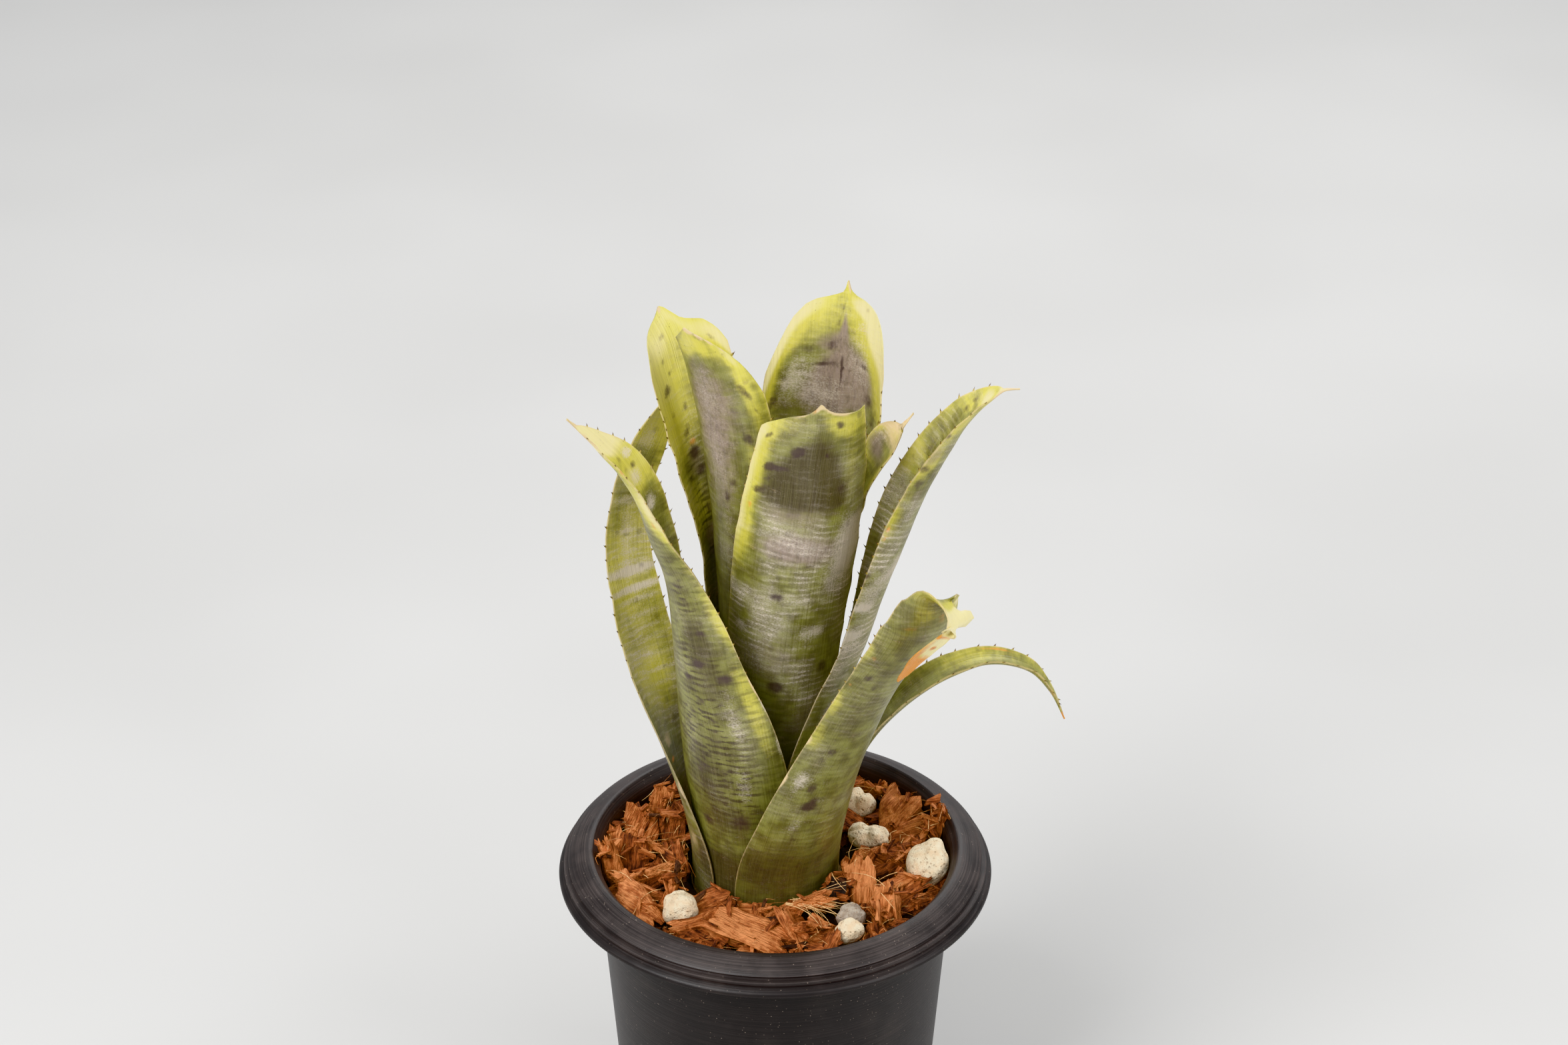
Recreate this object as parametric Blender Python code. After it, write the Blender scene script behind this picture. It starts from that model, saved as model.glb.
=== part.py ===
"""Potted bromeliad: ten spiny channelled leaves nested in a tube, in a nursery pot of husk chips.

Metres, +Z up. The origin is the centre of the pot's underside. The -Y side is the front.
"""
import math
import random
from dataclasses import dataclass

import bmesh
import bpy
import numpy as np
from mathutils import Euler, Matrix, Vector

MM = 0.001
GAP = 0.3 * MM                      # room left between neighbouring pieces

# Pot
POT_HEIGHT = 115 * MM
RIM_RADIUS = 65 * MM                # outside of the rolled lip
MOUTH_RADIUS = 54.5 * MM            # inner edge of the rim
BASE_RADIUS = 45.5 * MM
WALL = 1.2 * MM
FLOOR = 2.0 * MM
RIM_DEPTH = 9.2 * MM                # from the rim's inner edge down to the underside of the lip
POT_SEGMENTS = 40
DRAIN_HOLES = 6
DRAIN_RADIUS = 4 * MM
DRAIN_CIRCLE = 31 * MM

# Husk medium
FILL_LEVEL = POT_HEIGHT - 12 * MM   # top of the packed husk at the wall
FILL_CROWN = 2.5 * MM               # how much higher it lies round the plant
HOLE_RADIUS = 23.5 * MM
CHIP_COUNT = 36
SEAT_GAP = 0.4 * MM                 # room round each pebble
CHIP_SEED = 4

# Plant
PLANT_X, PLANT_Y = -2.6 * MM, 4.0 * MM
PLANT_Z = POT_HEIGHT - 6 * MM       # level from which leaf heights are given
LEAF_FOOT = -8.0                    # mm, lower end of every leaf base
STUMP_DEPTH = 6 * MM
BLADE_THICKNESS = 0.9 * MM
MARGIN_THICKNESS = 0.65 * MM
SPINE_LENGTH = 1.8 * MM
SPINE_FOOT = 1.4 * MM
SPINE_START = 0.42                  # share of a leaf's length at which its spines begin
SPINE_SPACING = 3.5                 # mm, closest that two spines stand
END_STATIONS = 5                    # stations over the rounded end of a leaf


@dataclass
class Leaf:
    """One leaf. Lengths in millimetres and angles in degrees, heights above PLANT_Z.

    side: compass side the base grows on (0 = +X, 90 = +Y); layer: radius of the base round the
    plant's axis; sheath: half width of the base. Each row of the course is a point of the midline
    (x, y, z), then the half width of the blade measured along its surface, the half angle of its
    trough, and the compass side that its back faces.
    """
    name: str
    side: float
    layer: float
    sheath: float
    tip: float                      # length over which the end rounds off
    horn: float                     # length of the narrow point at the end
    course: tuple
    stations: int = 26
    across: int = 7
    spines: float = 0.985           # share of the length at which the spines end


LEAVES = (
    Leaf("leaf_front_right", -66, 22.5, 19, 3, 1, (
        (14, -27, 27, 17, 46, -62), (19, -31, 45, 15, 45, -60), (25, -34.5, 62, 13.5, 46, -58),
        (32, -39.5, 80, 13, 48, -56), (37.5, -43.5, 94, 12.5, 50, -55), (42.5, -48, 107, 11, 50, -54),
        (45.2, -50.7, 116.5, 10.5, 42, -53), (46.6, -53.5, 120.3, 8, 34, -52),
        (48.2, -56, 119.6, 6.2, 28, -54), (49.9, -58, 116.3, 5.7, 20, -60),
        (49.5, -59, 112.5, 5, 20, -65), (46.8, -58.7, 107.5, 3.7, 20, -68),
        (42, -56.8, 101, 2.3, 20, -68), (36.5, -53.8, 95.5, 1.2, 20, -66)), 44, spines=0.66),
    Leaf("leaf_left", 180, 22, 17, 20, 2, (
        (-25, 2, 22, 15, 38, 172), (-28.5, 5, 37, 13.5, 34, 162), (-32, 10, 50, 12, 28, 150),
        (-36, 16, 63, 10.5, 24, 138), (-39, 20, 77, 9, 20, 130), (-41, 23, 89, 8, 18, 125),
        (-41, 25, 101, 7.5, 17, 125), (-39, 27, 113, 7, 16, 125), (-35, 29, 123, 6.5, 15, 125),
        (-30, 31, 134, 5.5, 15, 125), (-25.5, 32, 141, 4, 15, 125))),
    Leaf("leaf_front_left", 226, 20.5, 25, 30, 4, (
        (-17.5, -18.5, 40, 26, 66, 226), (-20, -18.5, 59, 24, 64, 222), (-23, -18, 76, 20, 66, 216),
        (-25.5, -17, 92, 17, 68, 208), (-28.5, -16, 107, 14, 66, 196), (-32.5, -16, 120, 12.5, 62, 184),
        (-36, -16.5, 132, 11, 56, 176), (-40.5, -18, 142, 9, 50, 174),
        (-46, -20.5, 150, 6.5, 40, 176), (-54, -25, 161, 3.5, 30, 180)), across=9),
    Leaf("leaf_low_right", 8, 19, 17, 30, 3, (
        (25, 1, 26, 12, 45, 6), (30.5, 2, 40, 9, 45, 6), (38.5, 4, 49, 7.5, 45, 6),
        (46, 6, 55, 7, 45, 6), (55, 8, 59.5, 6.5, 45, 6), (63, 10, 61.5, 5.5, 45, 6),
        (71, 11, 61, 5, 45, 6), (78, 12, 58, 4.5, 40, 6), (84, 12, 51, 3.8, 40, 6),
        (89, 12, 40, 2, 30, 6))),
    Leaf("leaf_right", -20, 17.5, 21, 26, 7, (
        (18, -9, 40, 18, 52, -20), (23, -9.5, 64, 16, 45, -16), (29, -10, 82, 15, 50, -10),
        (33, -10.5, 96, 14.5, 62, -6), (36.8, -11, 108, 14.5, 72, -2), (41.8, -11.5, 123, 14.5, 78, 0),
        (46.8, -12, 136, 13, 74, 0), (52, -13, 147, 11, 66, 0), (57, -14, 156, 8.5, 56, -2),
        (62, -15, 162, 6, 45, -5), (66, -16, 165.5, 4, 40, -8), (70, -17, 166, 2, 30, -10)), across=9),
    Leaf("leaf_back_left", 142, 16, 16, 13, 2.5, (
        (-12.7, 10, 40, 16, 56, 141), (-12.7, 11, 70, 13.3, 44, 139), (-13.2, 12.6, 87, 11, 42, 138),
        (-14, 14, 105, 12.5, 46, 134), (-16.5, 16, 120, 14.5, 45, 132), (-19.5, 18, 136, 15.5, 42, 130),
        (-23.5, 21, 152, 15.5, 40, 130), (-27, 24, 164, 14.5, 36, 130), (-30.5, 26, 170.5, 13, 30, 130))),
    Leaf("leaf_back", 74, 14.5, 15, 13, 4, (
        (5, 13.8, 40, 14.5, 57, 70), (8.5, 14.2, 68, 12, 46, 62), (12.8, 16.3, 86, 11.5, 42, 57),
        (17, 20, 108, 17, 50, 58), (21.5, 23.7, 136, 24, 58, 55), (22.5, 26, 150, 23, 55, 55),
        (23, 29, 161, 20, 50, 55), (23.5, 32, 170, 16.5, 45, 55), (23.7, 34, 175.5, 13, 40, 55))),
    Leaf("leaf_front", 270, 13, 15, 6, 2.5, (
        (2.5, -13.5, 40, 17, 64, 270), (5.5, -15.5, 75, 19.5, 62, 272), (9.5, -18, 112, 21, 60, 275),
        (12, -18.5, 130, 20, 58, 276), (13.5, -19.5, 145, 18, 54, 276),
        (15, -21, 157, 15.5, 50, 276), (15.5, -21.5, 163.5, 14, 48, 276))),
    Leaf("leaf_mid_left", 203, 11.5, 12.5, 10, 2, (
        (-9, -4, 40, 15, 60, 210), (-9.5, -5.5, 85, 16.5, 58, 220), (-10.3, -4.5, 120, 16.5, 54, 226),
        (-11.8, -3.5, 139, 16, 52, 230), (-14.5, -3, 156, 15.5, 50, 232),
        (-18.5, -3, 169, 13.5, 46, 232), (-22.5, -3, 178, 11.5, 42, 232))),
    Leaf("leaf_heart", 15, 10, 11, 14, 5, (
        (11, 2, 40, 10, 56, 15), (15, 1, 80, 8, 46, 20), (20.5, 0.5, 106, 6.5, 42, 25),
        (25, 0.7, 120, 4.8, 36, 25), (29.5, -1, 131, 5.6, 38, 25), (36, -2.4, 143, 8.3, 42, 25),
        (41.5, -2.5, 151, 8, 40, 25))),
)


def clear_scene():
    """Remove whatever the scene holds."""
    for item in list(bpy.data.objects):
        bpy.data.objects.remove(item, do_unlink=True)


def make_material(name, colour, roughness, metallic=0.0):
    """A plain material of one colour."""
    material = bpy.data.materials.new(name)
    material.use_nodes = True
    shader = material.node_tree.nodes["Principled BSDF"]
    shader.inputs["Base Color"].default_value = (*colour, 1.0)
    shader.inputs["Roughness"].default_value = roughness
    shader.inputs["Metallic"].default_value = metallic
    return material


def add_mesh(name, points, faces, material):
    """Put a mesh into the scene under the given name."""
    mesh = bpy.data.meshes.new(name)
    mesh.from_pydata([tuple(point) for point in points], [], faces)
    mesh.materials.append(material)
    item = bpy.data.objects.new(name, mesh)
    bpy.context.scene.collection.objects.link(item)
    return item


def apply_modifiers(item):
    """Replace an object's mesh by its evaluated mesh."""
    graph = bpy.context.evaluated_depsgraph_get()
    mesh = bpy.data.meshes.new_from_object(item.evaluated_get(graph))
    item.modifiers.clear()
    item.data = mesh


def combine(item, others, operation, solver="EXACT"):
    """Join others to an item, or cut them from it, and remove them."""
    group = bpy.data.collections.new(item.name + "_" + operation.lower())
    bpy.context.scene.collection.children.link(group)
    for other in others:
        bpy.context.scene.collection.objects.unlink(other)
        group.objects.link(other)
        other.hide_render = True
        other.display_type = "WIRE"
    modifier = item.modifiers.new(operation.title(), "BOOLEAN")
    modifier.operation = operation
    modifier.operand_type = "COLLECTION"
    modifier.collection = group
    modifier.solver = solver
    apply_modifiers(item)
    for other in others:
        bpy.data.objects.remove(other, do_unlink=True)
    bpy.data.collections.remove(group)


def keep_main_body(item):
    """Drop loose scraps and the walls of sealed hollows: only the largest connected shell stays."""
    form = bmesh.new()
    form.from_mesh(item.data)
    bmesh.ops.triangulate(form, faces=form.faces)
    waiting = set(form.faces)
    shells = []
    while waiting:
        shell, rim = [], [waiting.pop()]
        while rim:
            face = rim.pop()
            shell.append(face)
            near = {other for edge in face.edges for other in edge.link_faces} & waiting
            waiting -= near
            rim.extend(near)
        shells.append(shell)
    shells.sort(key=len)
    scraps = [face for shell in shells[:-1] for face in shell]
    bmesh.ops.delete(form, geom=scraps, context="FACES")
    form.to_mesh(item.data)
    form.free()


def turned(name, profile, segments, material):
    """A solid of revolution about Z from an outline of (radius, height) that runs anticlockwise."""
    points, rings = [], []
    for radius, height in profile:
        if radius == 0:
            rings.append([len(points)] * segments)
            points.append((0, 0, height))
            continue
        rings.append([len(points) + k for k in range(segments)])
        for k in range(segments):
            angle = 2 * math.pi * k / segments
            points.append((radius * math.cos(angle), radius * math.sin(angle), height))
    faces = []
    for low, high in zip(rings, rings[1:]):
        for k in range(segments):
            after = (k + 1) % segments
            corners = (low[k], low[after], high[after], high[k])
            faces.append(tuple(dict.fromkeys(corners)))
    return add_mesh(name, points, faces, material)


# Pot

def wall_radius(height):
    """Outer radius of the tapered wall at a height."""
    top = POT_HEIGHT - RIM_DEPTH
    return BASE_RADIUS + (53.4 * MM - BASE_RADIUS) * height / top


def make_pot(material):
    """Tapered nursery pot with a broad sloping rim turned in grooves and ridges."""
    top = POT_HEIGHT
    lip_under = top - RIM_DEPTH
    profile = [
        (0, 0), (BASE_RADIUS - 1.5 * MM, 0), (BASE_RADIUS, 1.5 * MM),
        (wall_radius(lip_under), lip_under),
        (RIM_RADIUS - 1 * MM, lip_under), (RIM_RADIUS, lip_under + 0.7 * MM),
        (RIM_RADIUS, top - 7.6 * MM), (RIM_RADIUS - 0.9 * MM, top - 6.9 * MM),
        (RIM_RADIUS - 1.9 * MM, top - 6.5 * MM), (RIM_RADIUS - 1.6 * MM, top - 4.9 * MM),
        (RIM_RADIUS - 2.3 * MM, top - 4.5 * MM), (RIM_RADIUS - 3.2 * MM, top - 4.2 * MM),
        (RIM_RADIUS - 2.9 * MM, top - 3.2 * MM), (58 * MM, top - 0.6 * MM),
        (MOUTH_RADIUS + 0.8 * MM, top), (MOUTH_RADIUS, top - 0.5 * MM),
        (MOUTH_RADIUS - 1.6 * MM, top - 2.5 * MM),
        (wall_radius(lip_under) - WALL, lip_under),
        (BASE_RADIUS - WALL, FLOOR + 1.5 * MM), (BASE_RADIUS - WALL - 1.5 * MM, FLOOR), (0, FLOOR),
    ]
    pot = turned("pot", profile, POT_SEGMENTS, material)
    drains = []
    for k in range(DRAIN_HOLES):
        angle = 2 * math.pi * (k + 0.5) / DRAIN_HOLES
        drain = turned(f"drain_{k}", [(0, -2 * MM), (DRAIN_RADIUS, -2 * MM),
                                      (DRAIN_RADIUS, 4 * MM), (0, 4 * MM)], 12, material)
        drain.data.transform(Matrix.Translation(
            (DRAIN_CIRCLE * math.cos(angle), DRAIN_CIRCLE * math.sin(angle), 0)))
        drains.append(drain)
    combine(pot, drains, "DIFFERENCE")
    return pot


# Leaves

def smooth_course(rows, count, end):
    """Sample a smooth curve through the rows, evenly by chord length and closer over its end.

    A cubic runs between each two rows; its slope at a row is the mean of the two chords there,
    each weighted by the length of the other. The first three columns give the chord length.
    """
    padded = np.vstack([2 * rows[0] - rows[1], rows, 2 * rows[-1] - rows[-2]])
    knots = np.concatenate([[0], np.cumsum(np.linalg.norm(np.diff(padded[:, :3], axis=0), axis=1))])
    chord = np.diff(knots)[:, None]
    rise = np.diff(padded, axis=0) / chord
    slope = (rise[:-1] * chord[1:] + rise[1:] * chord[:-1]) / (chord[:-1] + chord[1:])
    finish = knots[-2] - end
    close = finish + end * np.sin(np.linspace(0, math.pi / 2, END_STATIONS))
    at = np.concatenate([np.linspace(knots[1], finish, count - END_STATIONS, endpoint=False), close])
    low = np.clip(np.searchsorted(knots, at, side="right") - 1, 1, len(padded) - 3)
    step = chord[low]
    share = (at - knots[low])[:, None] / step
    square, cube = share ** 2, share ** 3
    values = ((2 * cube - 3 * square + 1) * padded[low] + (cube - 2 * square + share) * step * slope[low - 1]
              + (3 * square - 2 * cube) * padded[low + 1] + (cube - square) * step * slope[low])
    return values, at - knots[1]


def unit(vectors):
    """Scale each vector of an array to length one."""
    return vectors / np.linalg.norm(vectors, axis=-1, keepdims=True)


def blade_surface(leaf):
    """Mid-surface of a leaf, in mm: points (station, across, 3), normals, half widths, lengths along.

    Across each station the blade is an arc: its length is twice the half width and it spans twice
    the trough angle, so at the foot it is concentric with the plant's axis.
    """
    side = math.radians(leaf.side)
    foot = [(leaf.layer * math.cos(side), leaf.layer * math.sin(side), height, leaf.sheath,
             math.degrees(leaf.sheath / leaf.layer), leaf.side) for height in (LEAF_FOOT, 0.0)]
    rows = np.array(foot + list(leaf.course), float)
    course, along = smooth_course(rows, leaf.stations, leaf.tip + leaf.horn)
    middle, half = course[:, :3], course[:, 3]
    trough, face = np.radians(course[:, 4]), np.radians(course[:, 5])
    length = along[-1]
    # an ellipse rounds the end, and a narrow point stands on it
    inside = np.clip((length - leaf.horn - along) / leaf.tip, 0, 1)
    rounded = half * np.sqrt(1 - (1 - inside) ** 2)
    point = 0.9 * np.clip((length - along) / leaf.horn, 0.3, 1)
    half = np.maximum(rounded, np.minimum(point, half))
    tangent = unit(np.gradient(middle, axis=0))
    level = np.stack([-np.sin(face), np.cos(face), 0 * face], axis=-1)
    wide = unit(level - (level * tangent).sum(axis=1, keepdims=True) * tangent)
    inner = np.cross(tangent, wide)
    radius = (half / trough)[:, None, None]
    angle = trough[:, None] * np.linspace(-1, 1, leaf.across)
    sine, cosine = np.sin(angle)[..., None], np.cos(angle)[..., None]
    inner, wide = inner[:, None], wide[:, None]
    surface = middle[:, None] + radius * (sine * wide + (1 - cosine) * inner)
    normal = cosine * inner - sine * wide
    return surface, normal, half, along


def make_leaf(leaf, material):
    """Closed blade of two faces and an edge wall, with hooked spines along both margins."""
    surface, normal, half, along = blade_surface(leaf)
    share = along / along[-1]
    surface = surface * MM + np.array([PLANT_X, PLANT_Y, PLANT_Z])
    count, across = surface.shape[:2]
    spread = np.abs(np.linspace(-1, 1, across)) ** 3
    thickness = (BLADE_THICKNESS + (MARGIN_THICKNESS - BLADE_THICKNESS) * spread)[None, :, None]
    back = surface - normal * thickness / 2
    front = surface + normal * thickness / 2
    points = list(back.reshape(-1, 3)) + list(front.reshape(-1, 3))
    shift = count * across
    faces = []

    def both(a, b, c):
        """The same triangle on the back and, turned over, on the front."""
        faces.append((a, b, c))
        faces.append((a + shift, c + shift, b + shift))

    spined = [SPINE_START < share[i] < leaf.spines and half[i + 1] > 1.5
              and along[i + 1] - along[i] > SPINE_SPACING for i in range(count - 1)]
    for i in range(count - 1):
        for j in range(across - 1):
            a, b = i * across + j, (i + 1) * across + j
            left_spine, right_spine = spined[i] and j == 0, spined[i] and j == across - 2
            if not left_spine:
                both(a, a + 1, b)
            if not right_spine:
                both(a + 1, b + 1, b)
        for edge, inward, turn in ((0, 1, 1), (across - 1, -1, -1)):
            a, b = i * across + edge, (i + 1) * across + edge
            if not spined[i]:
                wall = ((a, b, b + shift), (a, b + shift, a + shift))
                faces.extend(face if turn > 0 else face[::-1] for face in wall)
                continue
            # the spine's four feet lie on the two rims of the edge wall
            span = np.linalg.norm(surface[i + 1, edge] - surface[i, edge])
            first = 0.5 - SPINE_FOOT / span / 2
            feet = []
            for face in (back, front):
                for part in (first, 1 - first):
                    feet.append(len(points))
                    points.append(face[i, edge] * (1 - part) + face[i + 1, edge] * part)
            outward = surface[i, edge] + surface[i + 1, edge] - surface[i, edge + inward] \
                - surface[i + 1, edge + inward]
            forward = unit(surface[i + 1, edge] - surface[i, edge])
            outward = unit(outward - (outward @ forward) * forward)
            tip = len(points)
            points.append((surface[i, edge] + surface[i + 1, edge]) / 2
                          + SPINE_LENGTH * unit(outward + 0.45 * forward))
            low, high, low_front, high_front = feet
            fan = [(a, low), (low, high), (high, b)]
            rim = [(a + shift, low_front), (low_front, high_front), (high_front, b + shift)]
            pivot = a + 1 if turn > 0 else b - 1
            for start, end in fan:
                faces.append((start, pivot, end) if turn > 0 else (start, end, pivot))
            for start, end in rim:
                faces.append((start, end, pivot + shift) if turn > 0 else (start, pivot + shift, end))
            wall = [(a, low, low_front), (a, low_front, a + shift), (high, b, b + shift),
                    (high, b + shift, high_front), (low, high, tip), (high, high_front, tip),
                    (high_front, low_front, tip), (low_front, low, tip)]
            faces.extend(face if turn > 0 else face[::-1] for face in wall)
    last = (count - 1) * across
    for j in range(across - 1):
        faces.extend([(j, j + shift, j + 1), (j + 1, j + shift, j + 1 + shift)])
        k = last + j
        faces.extend([(k, k + 1, k + shift), (k + 1, k + 1 + shift, k + shift)])
    item = add_mesh(leaf.name, points, faces, material)
    item.data.shade_smooth()
    return item


def make_stump(material):
    """The short hidden stem that carries the leaf bases."""
    top = PLANT_Z + LEAF_FOOT * MM - 2 * GAP
    radius = HOLE_RADIUS - 2 * GAP
    profile = [(0, top - STUMP_DEPTH), (radius * 0.6, top - STUMP_DEPTH),
               (radius, top - STUMP_DEPTH / 2), (radius, top), (0, top)]
    stump = turned("stump", profile, 36, material)
    stump.data.transform(Matrix.Translation((PLANT_X, PLANT_Y, 0)))
    return stump


# Husk and pebbles

@dataclass
class Pebble:
    """A stone by its centre, full size and turn about Z; lengths in mm, z below the pot's top."""
    x: float
    y: float
    z: float
    size: tuple
    turn: float
    seed: int


PEBBLES = (
    Pebble(26.5, 30, -7.5, (8.5, 8, 10), 20, 1),
    Pebble(29, 13.8, -7.5, (12, 8, 8), 5, 2),
    Pebble(45.2, -4, -5.5, (11.5, 13.5, 13.5), 0, 3),
    Pebble(-28, -25, -6, (10, 11, 11), 30, 4),
    Pebble(22.5, -27, -7.5, (8, 7, 7), 0, 5),
    Pebble(21.7, -35.5, -7, (8.5, 7, 7), 15, 6),
)


def make_pebble(index, pebble, material, grow=0.0):
    """A rough rounded stone; grow swells it for cutting its seat."""
    draw = random.Random(pebble.seed)
    form = bmesh.new()
    bmesh.ops.create_uvsphere(form, u_segments=10, v_segments=7, radius=0.5)
    waves = [(Vector([draw.uniform(-1, 1) for _ in range(3)]).normalized(), draw.uniform(3, 7),
              draw.uniform(0, 6)) for _ in range(4)]
    for vert in form.verts:
        swell = 1 + sum(0.045 * math.sin(rate * vert.co.dot(way) * 2 + phase) for way, rate, phase in waves)
        vert.co = vert.co * swell
        vert.co = Vector(vert.co[k] * (pebble.size[k] * MM + 2 * grow) for k in range(3))
    bmesh.ops.triangulate(form, faces=form.faces)
    bmesh.ops.transform(form, verts=form.verts, matrix=Matrix.Translation(
        (pebble.x * MM, pebble.y * MM, POT_HEIGHT + pebble.z * MM))
        @ Matrix.Rotation(math.radians(pebble.turn), 4, "Z"))
    mesh = bpy.data.meshes.new(f"pebble_{index}")
    form.to_mesh(mesh)
    form.free()
    mesh.materials.append(material)
    mesh.shade_smooth()
    item = bpy.data.objects.new(f"pebble_{index}", mesh)
    bpy.context.scene.collection.objects.link(item)
    return item


def make_chip(index, place, tilt, size, draw, material):
    """A torn slab of husk: a six-sided plate with its corners pushed about."""
    length, width, depth = size
    outline = [(-0.5, -0.35), (-0.15, -0.5), (0.4, -0.45), (0.5, 0.2), (0.15, 0.5), (-0.42, 0.4)]
    points = []
    for level in (-0.5, 0.5):
        for x, y in outline:
            points.append(Vector((length * (x + draw.uniform(-0.09, 0.09)),
                                  width * (y + draw.uniform(-0.12, 0.12)),
                                  depth * (level + draw.uniform(-0.2, 0.2)))))
    turn = Euler(tilt).to_matrix()
    points = [turn @ point + place for point in points]
    faces = [(0, 5, 4, 3, 2, 1), (6, 7, 8, 9, 10, 11)]
    faces += [(k, (k + 1) % 6, (k + 1) % 6 + 6, k + 6) for k in range(6)]
    return add_mesh(f"chip_{index}", points, faces, material)


def make_medium(material):
    """The husk that fills the pot, with loose chips on its top and plain seats for what it holds."""
    draw = random.Random(CHIP_SEED)
    floor = FLOOR + GAP
    profile = [(0, floor), (BASE_RADIUS - WALL - 2 * MM, floor),
               (wall_radius(floor + 3 * MM) - WALL - 0.6 * MM, floor + 3 * MM),
               (wall_radius(FILL_LEVEL) - WALL - 0.6 * MM, FILL_LEVEL),
               (HOLE_RADIUS + 8 * MM, FILL_LEVEL + FILL_CROWN), (0, FILL_LEVEL + FILL_CROWN)]
    medium = turned("husk_medium", profile, POT_SEGMENTS, material)
    chips = []
    for k in range(CHIP_COUNT):
        # golden-angle spread, even over the ring between the plant and the wall
        share = (k + 0.5) / CHIP_COUNT
        inner, outer = HOLE_RADIUS + 2 * MM, wall_radius(FILL_LEVEL) - 4 * MM
        radius = math.sqrt(inner ** 2 + (outer ** 2 - inner ** 2) * share)
        angle = k * math.pi * (3 - math.sqrt(5)) + draw.uniform(-0.15, 0.15)
        place = Vector((radius * math.cos(angle), radius * math.sin(angle),
                        FILL_LEVEL + FILL_CROWN / 2 + draw.uniform(-0.5, 2.0) * MM))
        tilt = (draw.uniform(-0.6, 0.6), draw.uniform(-0.6, 0.6), draw.uniform(0, math.pi))
        size = (draw.uniform(13, 21) * MM, draw.uniform(8, 12) * MM, draw.uniform(3, 5.5) * MM)
        chips.append(make_chip(k, place, tilt, size, draw, material))
    combine(medium, chips, "UNION", "MANIFOLD")
    mould = turned("mould", [(0, 0), (wall_radius(0) - WALL - GAP, 0),
                             (wall_radius(POT_HEIGHT) - WALL - GAP, POT_HEIGHT),
                             (0, POT_HEIGHT)], POT_SEGMENTS, material)
    combine(medium, [mould], "INTERSECT", "MANIFOLD")
    hole_floor = PLANT_Z + LEAF_FOOT * MM - STUMP_DEPTH - 3 * GAP
    hole = turned("hole", [(0, hole_floor), (HOLE_RADIUS, hole_floor), (HOLE_RADIUS, POT_HEIGHT),
                           (0, POT_HEIGHT)], 32, material)
    hole.data.transform(Matrix.Translation((PLANT_X, PLANT_Y, 0)))
    seats = [make_pebble(100 + k, pebble, material, SEAT_GAP) for k, pebble in enumerate(PEBBLES)]
    combine(medium, [hole] + seats, "DIFFERENCE", "MANIFOLD")
    keep_main_body(medium)
    return medium


def main():
    """Build every piece."""
    clear_scene()
    plastic = make_material("pot_plastic", (0.022, 0.020, 0.022), 0.55)
    husk = make_material("husk", (0.30, 0.10, 0.035), 0.9)
    stone = make_material("pumice", (0.62, 0.57, 0.42), 0.85)
    leaf_green = make_material("leaf_green", (0.30, 0.34, 0.07), 0.55)
    stem_green = make_material("stem", (0.25, 0.22, 0.09), 0.8)
    make_pot(plastic)
    make_medium(husk)
    make_stump(stem_green)
    for index, pebble in enumerate(PEBBLES, start=1):
        make_pebble(index, pebble, stone)
    for leaf in LEAVES:
        make_leaf(leaf, leaf_green)


main()
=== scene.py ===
"""Dressed model of a potted bromeliad: ten banded leaves in a nursery pot filled with coarse husk.

Lengths in the tables are in mm and angles in degrees; meshes and nodes are in metres. A leaf
is given in the plant's own frame, whose origin is the heart of the plant at the husk's level.
"""

import logging
import math
import random
from dataclasses import dataclass, field
from enum import Enum

import bpy
import numpy as np
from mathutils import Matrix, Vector


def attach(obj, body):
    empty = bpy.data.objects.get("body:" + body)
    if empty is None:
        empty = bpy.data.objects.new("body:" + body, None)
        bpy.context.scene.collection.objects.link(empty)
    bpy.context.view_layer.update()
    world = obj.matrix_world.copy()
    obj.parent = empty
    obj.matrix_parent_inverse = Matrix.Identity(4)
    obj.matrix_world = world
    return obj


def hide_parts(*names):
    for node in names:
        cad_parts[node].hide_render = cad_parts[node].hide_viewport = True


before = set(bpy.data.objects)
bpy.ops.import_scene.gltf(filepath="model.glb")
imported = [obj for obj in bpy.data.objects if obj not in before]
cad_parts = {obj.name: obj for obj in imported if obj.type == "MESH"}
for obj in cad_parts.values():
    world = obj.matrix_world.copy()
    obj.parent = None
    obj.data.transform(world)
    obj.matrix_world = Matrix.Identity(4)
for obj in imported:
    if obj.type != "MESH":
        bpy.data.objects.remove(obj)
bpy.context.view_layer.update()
LOG = logging.getLogger("bromeliad")

MM = 0.001
POT_TOP = 115.0
PLANT = np.array([-2.6, 4.0, 109.0])  # heart of the plant, at the husk's level
COURSE_STEPS = 900
HORN_SIDES = (0.015, 0.035, 0.06)  # sides of the extra columns that shape a leaf's end point
SEEDS = 997
Colour = tuple[float, float, float, float]
Socket = bpy.types.NodeSocket


# Numbers

def unit(vectors: np.ndarray) -> np.ndarray:
    """Scale each vector of an array to length one."""
    return vectors / np.linalg.norm(vectors, axis=-1, keepdims=True)


def smoothstep(low: float, high: float, values: np.ndarray) -> np.ndarray:
    """Rise from 0 at low to 1 at high as 3t² − 2t³, flat outside."""
    share = np.clip((values - low) / (high - low), 0, 1)
    return share * share * (3 - 2 * share)


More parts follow.
